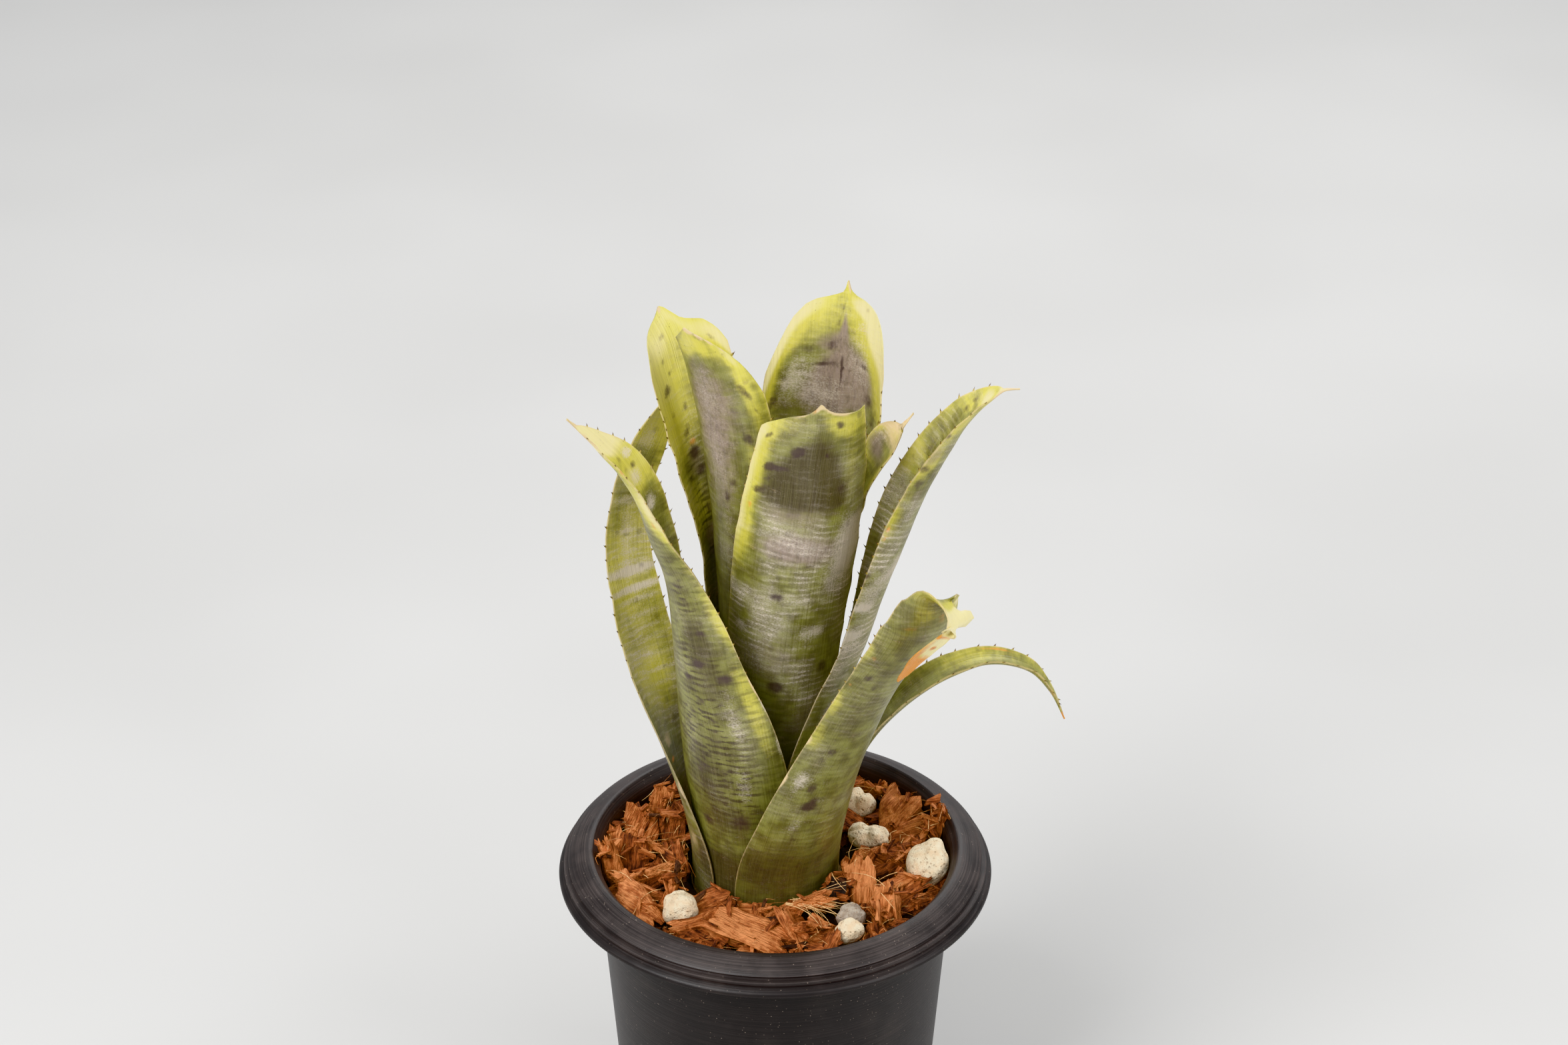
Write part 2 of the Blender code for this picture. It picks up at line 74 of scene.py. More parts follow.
def ripples(points: np.ndarray, seed: int, shortest: float, longest: float, count: int = 14) -> np.ndarray:
    """Smooth seeded roughness, about −1 to 1, as a sum of sine waves in random directions.

    Each wave is weighted by its own length, so the long waves are the tall ones.

    Args:
        points: positions, any shape with the coordinates last.
        seed: chooses the waves.
        shortest: shortest wavelength, in the unit of the points.
        longest: longest wavelength.
        count: how many waves are summed.

    Returns:
        One height per point.
    """
    draw = np.random.default_rng(seed)
    ways = unit(draw.normal(size=(count, points.shape[-1])))
    lengths = shortest * (longest / shortest) ** draw.uniform(size=count)
    phases = draw.uniform(0, 2 * np.pi, count)
    weights = lengths / np.sqrt((lengths ** 2).sum())
    return (np.sin(points @ (ways * 2 * np.pi / lengths[:, None]).T + phases) * weights).sum(axis=-1)


# Meshes

def sealed_faces(rows: int, columns: int) -> list[list[int]]:
    """Faces of a closed form: a first pole point, rows × columns ring points, and a last pole point.

    Each quad joins a ring to the next, and a fan of triangles closes each end.

    Args:
        rows: how many rings.
        columns: points in a ring.

    Returns:
        Corner numbers of each face.
    """
    index = 1 + np.arange(rows * columns).reshape(rows, columns)
    ahead = np.roll(index, -1, axis=1)
    quads = np.stack([index[:-1], ahead[:-1], ahead[1:], index[1:]], axis=-1).reshape(-1, 4)
    first = np.stack([np.zeros(columns, int), ahead[0], index[0]], axis=-1)
    last = np.stack([np.full(columns, rows * columns + 1), index[-1], ahead[-1]], axis=-1)
    return quads.tolist() + first.tolist() + last.tolist()


def hoop_faces(rows: int, columns: int) -> list[list[int]]:
    """Quads of a grid that closes on itself both ways, as a ring-shaped form does.

    Args:
        rows: how many loops.
        columns: points in a loop.

    Returns:
        Corner numbers of each face.
    """
    index = np.arange(rows * columns).reshape(rows, columns)
    ahead, below = np.roll(index, -1, axis=1), np.roll(index, -1, axis=0)
    corner = np.roll(below, -1, axis=1)
    return np.stack([index, ahead, corner, below], axis=-1).reshape(-1, 4).tolist()


def repeated(faces: list[list[int]], size: int, count: int) -> list[list[int]]:
    """The same faces again for each of count forms of size points."""
    return [[corner + size * k for corner in face] for k in range(count) for face in faces]


def enclosed(points: np.ndarray, faces: list[list[int]]) -> float:
    """Volume that the faces enclose: the sum of the cones from the origin, negative if they face in.

    Args:
        points: corner positions.
        faces: corner numbers of each face.

    Returns:
        The volume.
    """
    fans = np.array([[face[0], face[k], face[k + 1]] for face in faces for k in range(1, len(face) - 1)])
    a, b, c = points[fans[:, 0]], points[fans[:, 1]], points[fans[:, 2]]
    return float((a * np.cross(b, c)).sum() / 6)


def make_piece(name: str, points: np.ndarray, faces: list[list[int]], material: bpy.types.Material,
               values: dict[str, np.ndarray] | None = None, crease: float = 50.0) -> bpy.types.Object:
    """Put closed forms into a mesh object that faces outwards and rides on the pot.

    Args:
        name: name of the piece.
        points: corner positions, in mm.
        faces: corner numbers of each face.
        material: the piece's finish.
        values: named attributes, one number or one vector for each point.
        crease: angle past which an edge stays sharp.

    Returns:
        The new object.
    """
    points = np.asarray(points, float).reshape(-1, 3)
    if enclosed(points - points.mean(axis=0), faces) < 0:
        faces = [face[::-1] for face in faces]
    mesh = bpy.data.meshes.new(name)
    mesh.from_pydata((points * MM).tolist(), [], faces)
    for key, numbers in (values or {}).items():
        numbers = np.asarray(numbers, np.float32)
        if numbers.size == len(points):
            mesh.attributes.new(key, "FLOAT", "POINT").data.foreach_set("value", numbers.ravel())
        else:
            mesh.attributes.new(key, "FLOAT_VECTOR", "POINT").data.foreach_set("vector", numbers.ravel())
    mesh.materials.append(material)
    mesh.shade_smooth()
    mesh.set_sharp_from_angle(angle=math.radians(crease))
    piece = bpy.data.objects.new(name, mesh)
    bpy.context.scene.collection.objects.link(piece)
    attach(piece, "root")
    LOG.info("%s: %d points, %d faces", name, len(points), len(faces))
    return piece


# Shader nodes

class Graph:
    """Adds nodes to one node tree; a method gives back the new node's output socket."""

    def __init__(self, tree: bpy.types.NodeTree) -> None:
        """Start on a tree, which keeps what it already holds."""
        self.tree = tree

    def node(self, kind: str, inputs: dict | None = None, **settings: object) -> bpy.types.Node:
        """Add a node.

        Args:
            kind: the node's type name.
            inputs: what goes into its sockets, by name or number: a socket to link or a value.
            **settings: the node's own options, set first.

        Returns:
            The node.
        """
        made = self.tree.nodes.new(kind)
        for key, value in settings.items():
            setattr(made, key, value)
        for key, value in (inputs or {}).items():
            if isinstance(value, Socket):
                self.tree.links.new(value, made.inputs[key])
            else:
                made.inputs[key].default_value = value
        return made

    def effect(self, group: bpy.types.NodeTree, inputs: dict) -> bpy.types.Node:
        """Place a shared effect with its own values."""
        return self.node("ShaderNodeGroup", inputs, node_tree=group)

    def maths(self, operation: str, first: object, second: object = 0.0, clamp: bool = False) -> Socket:
        """One arithmetic step on two numbers."""
        return self.node("ShaderNodeMath", {0: first, 1: second}, operation=operation,
                         use_clamp=clamp).outputs[0]

    def times(self, first: object, second: object, clamp: bool = False) -> Socket:
        """Product of two numbers."""
        return self.maths("MULTIPLY", first, second, clamp)

    def plus(self, first: object, second: object) -> Socket:
        """Sum of two numbers."""
        return self.maths("ADD", first, second)

    def minus(self, first: object, second: object, clamp: bool = False) -> Socket:
        """Difference of two numbers."""
        return self.maths("SUBTRACT", first, second, clamp)

    def smooth(self, value: object, low: float, high: float, start: float = 0.0, end: float = 1.0) -> Socket:
        """Carry low..high to start..end with soft ends, clamped."""
        return self.node("ShaderNodeMapRange", {0: value, 1: low, 2: high, 3: start, 4: end},
                         interpolation_type="SMOOTHSTEP").outputs[0]

    def mix(self, share: object, first: object, second: object) -> Socket:
        """Blend two colours; sockets 6 and 7 are the node's colour inputs."""
        return self.node("ShaderNodeMix", {0: share, 6: first, 7: second}, data_type="RGBA").outputs[2]

    def stain(self, body: object, mask: object, ends: tuple[float, float], colour: object,
              most: float = 1.0) -> Socket:
        """Lay a colour on a body, from nothing where the mask is at the first end to most at the second."""
        return self.mix(self.smooth(mask, *ends, end=most), body, colour)

    def scaled(self, vector: object, scale: object) -> Socket:
        """Multiply a vector by three factors."""
        return self.node("ShaderNodeVectorMath", {0: vector, 1: scale}, operation="MULTIPLY").outputs[0]

    def part(self, vector: object, axis: int) -> Socket:
        """One coordinate of a vector."""
        return self.node("ShaderNodeSeparateXYZ", {0: vector}).outputs[axis]

    def noise(self, vector: object, scale: object, detail: float = 2.0, rough: float = 0.5,
              warp: float = 0.0) -> Socket:
        """Cloud pattern about 0.5."""
        return self.node("ShaderNodeTexNoise", {"Vector": vector, "Scale": scale, "Detail": detail,
                                                "Roughness": rough, "Distortion": warp}).outputs[0]

    def drawn(self, vector: object, across: float, along: float, detail: float, rough: float = 0.5,
              warp: float = 0.0) -> Socket:
        """Cloud pattern with a scale of its own across (X) and along (Y)."""
        return self.noise(self.scaled(vector, (across, along, 1.0)), 1.0, detail, rough, warp)

    def cells(self, vector: object, scale: object) -> Socket:
        """Distance to the nearest of many scattered points."""
        return self.node("ShaderNodeTexVoronoi", {"Vector": vector, "Scale": scale}).outputs["Distance"]

    def value(self, name: str) -> Socket:
        """A number that the mesh carries at each point."""
        return self.node("ShaderNodeAttribute", attribute_name=name).outputs["Fac"]

    def vector(self, name: str) -> Socket:
        """A vector that the mesh carries at each point."""
        return self.node("ShaderNodeAttribute", attribute_name=name).outputs["Vector"]

    def place(self) -> Socket:
        """Object coordinates, in mm."""
        return self.scaled(self.node("ShaderNodeTexCoord").outputs["Object"], (1 / MM,) * 3)

    def bump(self, height: object, depth: float, strength: float = 1.0) -> Socket:
        """Normal of a fine relief whose full height is depth, in mm."""
        return self.node("ShaderNodeBump", {"Height": height, "Distance": depth * MM,
                                            "Strength": strength}).outputs[0]

    def finish(self, shader: bpy.types.Node, colour: Socket, roughness: Socket | None = None,
               normal: Socket | None = None) -> None:
        """Feed a shader's colour and, where they are given, its roughness and normal.

        Args:
            shader: the material's shader.
            colour: for its Base Color.
            roughness: for its Roughness.
            normal: for its Normal.
        """
        for key, source in (("Base Color", colour), ("Roughness", roughness), ("Normal", normal)):
            if source is not None:
                self.tree.links.new(source, shader.inputs[key])


def new_material(name: str) -> tuple[bpy.types.Material, Graph, bpy.types.Node]:
    """Begin a material on Blender's own Principled shader.

    Args:
        name: its name.

    Returns:
        The material, its graph and the shader.
    """
    material = bpy.data.materials.new(name)
    material.use_nodes = True
    return material, Graph(material.node_tree), material.node_tree.nodes["Principled BSDF"]


def new_effect(name: str, inputs: dict[str, str],
               outputs: tuple[str, ...]) -> tuple[Graph, bpy.types.Node, bpy.types.Node]:
    """Begin a shader node group.

    Args:
        name: name of the group.
        inputs: its input sockets, name to "Float" or "Vector".
        outputs: its output sockets, all numbers.

    Returns:
        The group's graph, its input node and its output node.
    """
    tree = bpy.data.node_groups.new(name, "ShaderNodeTree")
    for key, kind in inputs.items():
        tree.interface.new_socket(key, in_out="INPUT", socket_type=f"NodeSocket{kind}")
    for key in outputs:
        tree.interface.new_socket(key, in_out="OUTPUT", socket_type="NodeSocketFloat")
    return Graph(tree), tree.nodes.new("NodeGroupInput"), tree.nodes.new("NodeGroupOutput")


@dataclass(frozen=True)
class Effects:
    """The effects that several materials share, each made once."""
    streaks: bpy.types.NodeTree
    grain: bpy.types.NodeTree
    dust: bpy.types.NodeTree

    @classmethod
    def build(cls) -> "Effects":
        """Make the three groups."""
        return cls(cls.make_streaks(), cls.make_grain(), cls.make_dust())

    @staticmethod
    def make_streaks() -> bpy.types.NodeTree:
        """Long thin streaks along Y: a cloud that is drawn out, at two widths.

        Across is streaks per mm and Along is how often one changes per mm. Coarse and Fine are
        both 0 to 1, with most of their surface near the ends.

        Returns:
            The group.
        """
        g, given, out = new_effect("streaks", {"Vector": "Vector", "Across": "Float", "Along": "Float"},
                                   ("Coarse", "Fine"))
        across = given.outputs["Across"]
        factors = g.node("ShaderNodeCombineXYZ", {0: across, 1: given.outputs["Along"], 2: across}).outputs[0]
        drawn = g.scaled(given.outputs["Vector"], factors)
        for key, scale, detail in (("Coarse", 1.0, 1.0), ("Fine", 2.7, 2.0)):
            g.tree.links.new(g.smooth(g.noise(drawn, scale, detail), 0.3, 0.7), out.inputs[key])
        return g.tree

    @staticmethod
    def make_grain() -> bpy.types.NodeTree:
        """Soft mottling and a finer roughness on it; Size is the mottling's grains per mm.

        Returns:
            The group.
        """
        g, given, out = new_effect("grain", {"Vector": "Vector", "Size": "Float"}, ("Mottle", "Tooth"))
        vector, size = given.outputs["Vector"], given.outputs["Size"]
        g.tree.links.new(g.smooth(g.noise(vector, size, 3.0), 0.3, 0.7), out.inputs["Mottle"])
        g.tree.links.new(g.noise(vector, g.times(size, 6.0), 3.0, 0.6), out.inputs["Tooth"])
        return g.tree

    @staticmethod
    def make_dust() -> bpy.types.NodeTree:
        """Specks: the middles of small cells where a cloud is thick enough.

        Specks is cells per mm, Radius is a speck's reach in its cell and Bare is the cloud level
        under which nothing lies.

        Returns:
            The group.
        """
        inputs = {"Vector": "Vector", "Specks": "Float", "Radius": "Float", "Bare": "Float"}
        g, given, out = new_effect("dust", inputs, ("Mask",))
        vector = given.outputs["Vector"]
        near = g.minus(given.outputs["Radius"], g.cells(vector, given.outputs["Specks"]))
        thick = g.minus(g.noise(vector, 0.35, 3.0), given.outputs["Bare"])
        mask = g.times(g.times(near, 14.0, clamp=True), g.times(thick, 6.0, clamp=True))
        g.tree.links.new(mask, out.inputs["Mask"])
        return g.tree

    def specked(self, g: Graph, vector: Socket, body: Socket, size: tuple[float, float, float],
                colour: Colour, share: float) -> Socket:
        """Lay specks of a colour on a body.

        Args:
            g: the material's graph.
            vector: where each point is, in mm.
            body: the colour so far.
            size: the dust effect's Specks, Radius and Bare.
            colour: the specks' colour.
            share: how much of it shows.

        Returns:
            The new colour.
        """
        dust = g.effect(self.dust, {"Vector": vector, **dict(zip(("Specks", "Radius", "Bare"), size))})
        return g.mix(g.times(dust.outputs["Mask"], share), body, colour)


# Leaf finishes

class Tone(Enum):
    """What a mark on a leaf is; each has an attribute of its own in the mesh."""
    GOLD = "gold"
    DEEP = "deep"
    DUSK = "dusk"
    BLOTCH = "blotch"
    BARS = "bars"
    SCURF = "scurf"
    # pale scales and wax, and in places a painted highlight
    PALE_AND_HIGHLIGHT = "pale"
    PAPER = "paper"
    RUST = "rust"


@dataclass(frozen=True)
class Mark:
    """A soft-edged oval on a leaf: its middle by side (−1 to 1) and share of length, its reach in mm."""
    side: float
    share: float
    across: float
    along: float
    strength: float

    def cover(self, side: np.ndarray, share: np.ndarray, half: np.ndarray, length: float) -> np.ndarray:
        """Strength × exp(−d³), with d the distance from the middle as a share of the reach."""
        d = ((side - self.side) * half / self.across) ** 2 + ((share - self.share) * length / self.along) ** 2
        return self.strength * np.exp(-d ** 1.5)


@dataclass(frozen=True)
class LeafFinish:
    """Living blade: olive to lime, with nerves, purple-brown blotches and bands of silver scales."""
    olive: Colour = (0.132, 0.122, 0.034, 1)
    green: Colour = (0.255, 0.252, 0.070, 1)
    gold: Colour = (0.640, 0.580, 0.100, 1)
    cream: Colour = (0.900, 0.800, 0.420, 1)
    deep: Colour = (0.062, 0.046, 0.022, 1)
    dusk: Colour = (0.315, 0.236, 0.212, 1)
    blotch: Colour = (0.078, 0.050, 0.050, 1)
    scale: Colour = (0.720, 0.630, 0.530, 1)
    paper: Colour = (0.740, 0.570, 0.320, 1)
    rust: Colour = (0.780, 0.330, 0.070, 1)

    def build(self, effects: Effects) -> bpy.types.Material:
        """Layer the colours from the mesh's masks, each broken up by its own pattern.

        Args:
            effects: the shared effects.

        Returns:
            The material.
        """
        material, g, shader = new_material("leaf_blade")
        blade = g.vector("blade")
        nerve = g.effect(effects.streaks, {"Vector": blade, "Across": 1.5, "Along": 0.03})
        grain = g.effect(effects.grain, {"Vector": blade, "Size": 0.22})
        cloud = g.minus(g.noise(blade, 0.30, 4.0, 0.62), 0.5)
        stroke = g.drawn(blade, 0.15, 0.62, 3.0, 0.55)
        across = g.minus(stroke, 0.5)
        broken = g.plus(g.times(cloud, 0.55), g.times(across, 0.55))
        # rows of scales across the blade, about 2 mm apart: a sine of the length that slow clouds
        # push about, broken into strokes by a cloud that is drawn out across
        slow = g.times(g.drawn(blade, 0.05, 0.03, 1.0), 3.0)
        quick = g.times(g.drawn(blade, 0.20, 0.26, 2.0), 0.9)
        phase = g.plus(g.times(g.part(blade, 1), 0.49), g.plus(slow, quick))
        wave = g.maths("SINE", g.times(phase, 2 * math.pi))
        rows = g.smooth(g.plus(stroke, g.times(wave, 0.17)), 0.47, 0.77)
        patch = g.smooth(g.drawn(blade, 0.09, 0.05, 3.0, 0.55), 0.40, 0.62)
        # living colours, dusky zones, dark dashes across and nerves, then the dry parts
        body = g.mix(grain.outputs["Mottle"], self.olive, self.green)
        body = g.stain(body, g.plus(g.value("gold"), broken), (0.10, 0.90), self.gold)
        body = g.stain(body, g.value("gold"), (0.95, 1.7), self.cream)
        weave = g.smooth(g.drawn(blade, 0.55, 0.30, 4.0, 0.65), 0.42, 0.72, end=0.6)
        dusk = g.mix(weave, self.dusk, self.blotch)
        body = g.stain(body, g.plus(g.value("dusk"), broken), (0.10, 0.95), dusk, 0.92)
        body = g.stain(body, g.plus(g.value("deep"), broken), (0.10, 0.95), self.deep, 0.95)
        dash = g.minus(g.drawn(blade, 0.22, 0.70, 3.0, 0.55), g.times(wave, 0.10))
        dark = g.times(g.smooth(dash, 0.47, 0.68), g.value("bars"))
        body = g.mix(g.times(dark, 0.80, clamp=True), body, self.deep)
        body = g.mix(g.times(nerve.outputs["Coarse"], 0.12), body, self.olive)
        body = g.mix(g.times(nerve.outputs["Fine"], 0.06), body, self.cream)
        body = g.stain(body, g.plus(g.value("paper"), broken), (0.15, 0.85), self.paper)
        body = g.stain(body, g.plus(g.value("rust"), broken), (0.10, 0.90), self.rust)
        # silver scales: the rows, a film between them in places, and single bright scales; the pale marks
        # join them, some of which are painted highlights
        bars = g.times(rows, g.plus(g.times(patch, 0.80), 0.15))
        broad = g.smooth(g.drawn(blade, 0.04, 0.10, 2.0, 0.5, 0.3), 0.50, 0.70)
        film = g.plus(g.times(broad, 0.45), g.times(patch, 0.32))
        scales = g.smooth(g.drawn(blade, 1.5, 3.0, 3.0, 0.7), 0.34, 0.66)
        veil = g.times(g.plus(g.times(bars, 0.68), film), g.plus(g.times(scales, 0.75), 0.25))
        bare = g.smooth(g.value("deep"), 0.2, 1.4, 1.0, 0.45)
        silver = g.times(g.times(veil, bare), g.value("scurf"), clamp=True)
        chalk = g.plus(g.times(g.plus(across, cloud), 0.6), g.times(g.minus(scales, 0.5), 0.45))
        # the pale marks: pale scales and wax, and on the front leaf's right side a painted highlight
        scales_and_highlight = g.maths("MAXIMUM", silver, g.smooth(g.plus(g.value("pale"), chalk), 0.05, 1.20, end=0.88))
        body = g.mix(scales_and_highlight, body, self.scale)
        # blotches with frayed edges, then freckles and dark flecks
        frayed = g.times(g.minus(g.noise(blade, 0.8, 4.0, 0.65), 0.5), 0.9)
        body = g.stain(body, g.plus(g.value("blotch"), frayed), (0.15, 1.0), self.blotch, 0.85)
        body = effects.specked(g, blade, body, (0.16, 0.22, 0.42), self.blotch, 0.30)
        body = effects.specked(g, blade, body, (0.75, 0.16, 0.48), self.deep, 0.50)
        fine = g.plus(g.times(grain.outputs["Tooth"], 0.4), g.times(bars, 0.35))
        relief = g.plus(g.times(nerve.outputs["Coarse"], 0.5), fine)
        g.finish(shader, body, g.smooth(scales_and_highlight, 0.0, 1.0, 0.38, 0.62), g.bump(relief, 0.13, 0.8))
        shader.inputs["Subsurface Weight"].default_value = 0.10
        shader.inputs["Subsurface Scale"].default_value = 0.0015
        shader.inputs["Subsurface Radius"].default_value = (1.0, 0.9, 0.3)
        return material


@dataclass(frozen=True)
class SpineFinish:
    """Horny teeth: yellow-green at the foot, brown at the point."""
    foot: Colour = (0.46, 0.36, 0.09, 1)
    point: Colour = (0.075, 0.024, 0.010, 1)

    def build(self, effects: Effects) -> bpy.types.Material:
        """Run from foot to point along the mesh's reach value, with fine mottling.

        Args:
            effects: the shared effects.

        Returns:
            The material.
        """
        material, g, shader = new_material("leaf_tooth")
        grain = g.effect(effects.grain, {"Vector": g.place(), "Size": 1.2})
        reach = g.plus(g.value("reach"), g.times(g.minus(grain.outputs["Mottle"], 0.5), 0.3))
        g.finish(shader, g.mix(g.smooth(reach, 0.25, 0.75), self.foot, self.point),
                 g.smooth(grain.outputs["Tooth"], 0.3, 0.7, 0.3, 0.5))
        return material


# Leaves

@dataclass(frozen=True)
class Blade:
    """One leaf, as a course of cross-sections from its foot to its end.

    side and layer are the direction and distance of its foot from the plant's axis and sheath
    its half width there. A row of course is x, y, z, half width, trough and facing: across the
    leaf is an arc that spans twice the trough angle, and it faces the way its outer side looks.
    The end is rounded over tip with a narrow point of length horn, unless cut is given: its
    pairs are a side (−1 to 1) and how far the leaf stops short of its full length there. A
    pair of cant is a length and the angle by which the leaf is rolled about its own course there.
    marks are the fields of a Mark, by tone. gilt is the share of the length where the gold
    begins, the share where it is full, and how strong it is; edging is the gold along the
    margins and edge_reach how far in it goes; bars is how dark the bars across are.
    """
    name: str
    side: float
    layer: float
    sheath: float
    tip: float
    horn: float
    course: tuple[tuple[float, ...], ...]
    marks: dict[Tone, tuple[tuple[float, ...], ...]] = field(default_factory=dict)
    cut: tuple[tuple[float, float], ...] = ()
    cant: tuple[tuple[float, float], ...] = ()
    gilt: tuple[float, float, float] = (0.35, 1.0, 0.8)
    edging: float = 0.5
    edge_reach: float = 2.2
    scurf: float = 0.8
    bars: float = 0.25
    spines: tuple[float, float] = (0.42, 0.97)  # shares of the length between which the teeth stand
    stations: int = 260
    across: int = 33  # odd, so that one column runs up the middle
    thickness: float = 0.95
    margin: float = 0.40  # thickness at the margins
    spacing: float = 5.0  # from tooth to tooth
    tooth_height: tuple[float, float] = (1.05, 1.6)  # least and most
    tooth_foot: tuple[float, float] = (0.62, 0.24)  # half its width along the margin and through the blade
    tooth_sunk: float = 0.35
    tooth_hook: float = 0.55  # how far its point leans forward, as a share of its height

    def dense_course(self) -> tuple[np.ndarray, np.ndarray]:
        """Rows in small even steps along the leaf, and the length at each.

        A cubic runs between each two rows; its slope at a row is the mean of the two chords
        there, each weighted by the length of the other. Below the plant's origin the leaf goes
        straight down for 8 mm.

        Returns:
            The rows, and the length of each.
        """
        side = math.radians(self.side)
        foot = [(self.layer * math.cos(side), self.layer * math.sin(side), height, self.sheath,
                 math.degrees(self.sheath / self.layer), self.side) for height in (-8.0, 0.0)]
        rows = np.array(foot + list(self.course), float)
        padded = np.vstack([2 * rows[0] - rows[1], rows, 2 * rows[-1] - rows[-2]])
        knots = np.concatenate([[0], np.cumsum(np.linalg.norm(np.diff(padded[:, :3], axis=0), axis=1))])
        chord = np.diff(knots)[:, None]
        rise = np.diff(padded, axis=0) / chord
        slope = (rise[:-1] * chord[1:] + rise[1:] * chord[:-1]) / (chord[:-1] + chord[1:])
        at = np.linspace(knots[1], knots[-2], COURSE_STEPS)
        low = np.clip(np.searchsorted(knots, at, side="right") - 1, 1, len(padded) - 3)
        step = chord[low]
        share = (at - knots[low])[:, None] / step
        square, cube = share ** 2, share ** 3
        values = ((2 * cube - 3 * square + 1) * padded[low]
                  + (cube - 2 * square + share) * step * slope[low - 1]
                  + (3 * square - 2 * cube) * padded[low + 1] + (cube - square) * step * slope[low])
        return values, at - knots[1]

    def width_at(self, along: np.ndarray, half: np.ndarray, length: float) -> np.ndarray:
        """Half width with the end's shape: an ellipse over tip, never narrower than the horn's point.

        Args:
            along: lengths on the leaf.
            half: the course's half width at each.
            length: the leaf's full length.

        Returns:
            The half width at each.
        """
        if self.cut:
            return half
        inside = np.clip((length - self.horn - along) / self.tip, 0, 1)
        point = 0.9 * np.clip((length - along) / self.horn, 0.3, 1)
        return np.maximum(half * np.sqrt(1 - (1 - inside) ** 2), np.minimum(point, half))

    def shortfall(self, side: np.ndarray) -> np.ndarray:
        """How far the leaf stops short of its full length at each side, in mm, smoothed over the knots.

        Args:
            side: −1 to 1 across.

        Returns:
            One length for each side.
        """
        if not self.cut:
            return np.zeros_like(side)
        knots = np.array(sorted(self.cut))
        spread = np.linspace(-1, 1, 401)
        plain = np.interp(spread, knots[:, 0], knots[:, 1])
        window = np.hanning(17)
        padded = np.pad(plain, len(window) // 2, mode="reflect", reflect_type="odd")
        return np.interp(side, spread, np.convolve(padded, window / window.sum(), "valid"))

    def middle_surface(self, share: np.ndarray, side: np.ndarray) -> dict[str, np.ndarray]:
        """Middle of the blade's thickness at given shares of the length and sides.

        A point is the course's middle + radius × (sin(angle) × wide + (1 − cos(angle)) × inner),
        where angle is the trough times the side. wide is level, square to the course and to the
        facing; inner is square to both. Shallow waves run along the margins and over the face.

        Args:
            share: 0 at the foot to 1 at the end, any shape.
            side: −1 to 1 across, the same shape.

        Returns:
            point, normal, along, half, side and length arrays.
        """
        values, lengths = self.dense_course()
        length = lengths[-1]
        along = share * length - self.shortfall(side) * smoothstep(0.72, 1.0, share)
        columns = [np.interp(along, lengths, values[:, k]) for k in range(6)]
        middle, half = np.stack(columns[:3], axis=-1), columns[3]
        trough, face = np.radians(columns[4]), np.radians(columns[5])
        half = self.width_at(along, half, length)
        steps = unit(np.gradient(values[:, :3], axis=0))
        tangent = unit(np.stack([np.interp(along, lengths, steps[:, k]) for k in range(3)], axis=-1))
        level = np.stack([-np.sin(face), np.cos(face), 0 * face], axis=-1)
        wide = unit(level - (level * tangent).sum(axis=-1, keepdims=True) * tangent)
        inner = np.cross(tangent, wide)
        if self.cant:
            roll = np.radians(np.interp(along, *np.array(self.cant).T))[..., None]
            wide, inner = (np.cos(roll) * wide + np.sin(roll) * inner,
                           np.cos(roll) * inner - np.sin(roll) * wide)
        radius, angle = (half / trough)[..., None], (trough * side)[..., None]
        point = middle + radius * (np.sin(angle) * wide + (1 - np.cos(angle)) * inner)
        normal = np.cos(angle) * inner - np.sin(angle) * wide
        seed = int(self.side * 7 + self.layer * 10) % SEEDS
        flat = np.stack([side * half, along], axis=-1)
        frill = 0.12 * np.abs(side) ** 5 * ripples(flat[..., 1:], seed, 7, 16, 4)
        swell = 0.16 * ripples(flat, seed + 1, 9, 40, 8)
        point = point + normal * (smoothstep(0.25, 0.6, share) * (frill + swell))[..., None]
        return {"point": point, "normal": normal, "along": along, "half": half, "side": side,
                "length": np.asarray(length)}

    def tones(self, sheet: dict[str, np.ndarray], share: np.ndarray) -> dict[str, np.ndarray]:
        """Masks of the finish: what runs the length of the leaf or its margins, then the marks on top.

        Args:
            sheet: what middle_surface gives.
            share: 0 at the foot to 1 at the end, at the same points.

        Returns:
            One mask for each tone, by the name of its attribute.
        """
        side, half = sheet["side"], sheet["half"]
        margin = (1 - np.abs(side)) * half
        begins, full, strength = self.gilt
        edge = self.edging * smoothstep(0.30, 0.62, share) * np.exp(-(margin / self.edge_reach) ** 2)
        thinned = self.scurf * (1 - 0.7 * smoothstep(0.62, 0.92, share))
        masks = {tone: np.zeros_like(side) for tone in Tone}
        masks[Tone.GOLD] = smoothstep(begins, full, share) * strength + edge
        masks[Tone.SCURF] = thinned * (0.35 + 0.65 * smoothstep(0.05, 0.30, share))
        masks[Tone.DEEP] = 0.65 * (1 - smoothstep(0.02, 0.20, share))
        masks[Tone.BARS] = self.bars * (1 - smoothstep(0.70, 0.84, share))
        masks[Tone.PAPER] = 0.5 * np.exp(-(margin / 0.45) ** 2)
        for tone, rows in self.marks.items():
            for row in rows:
                masks[tone] = masks[tone] + Mark(*row).cover(side, share, half, float(sheet["length"]))
        return {tone.value: mask for tone, mask in masks.items()}

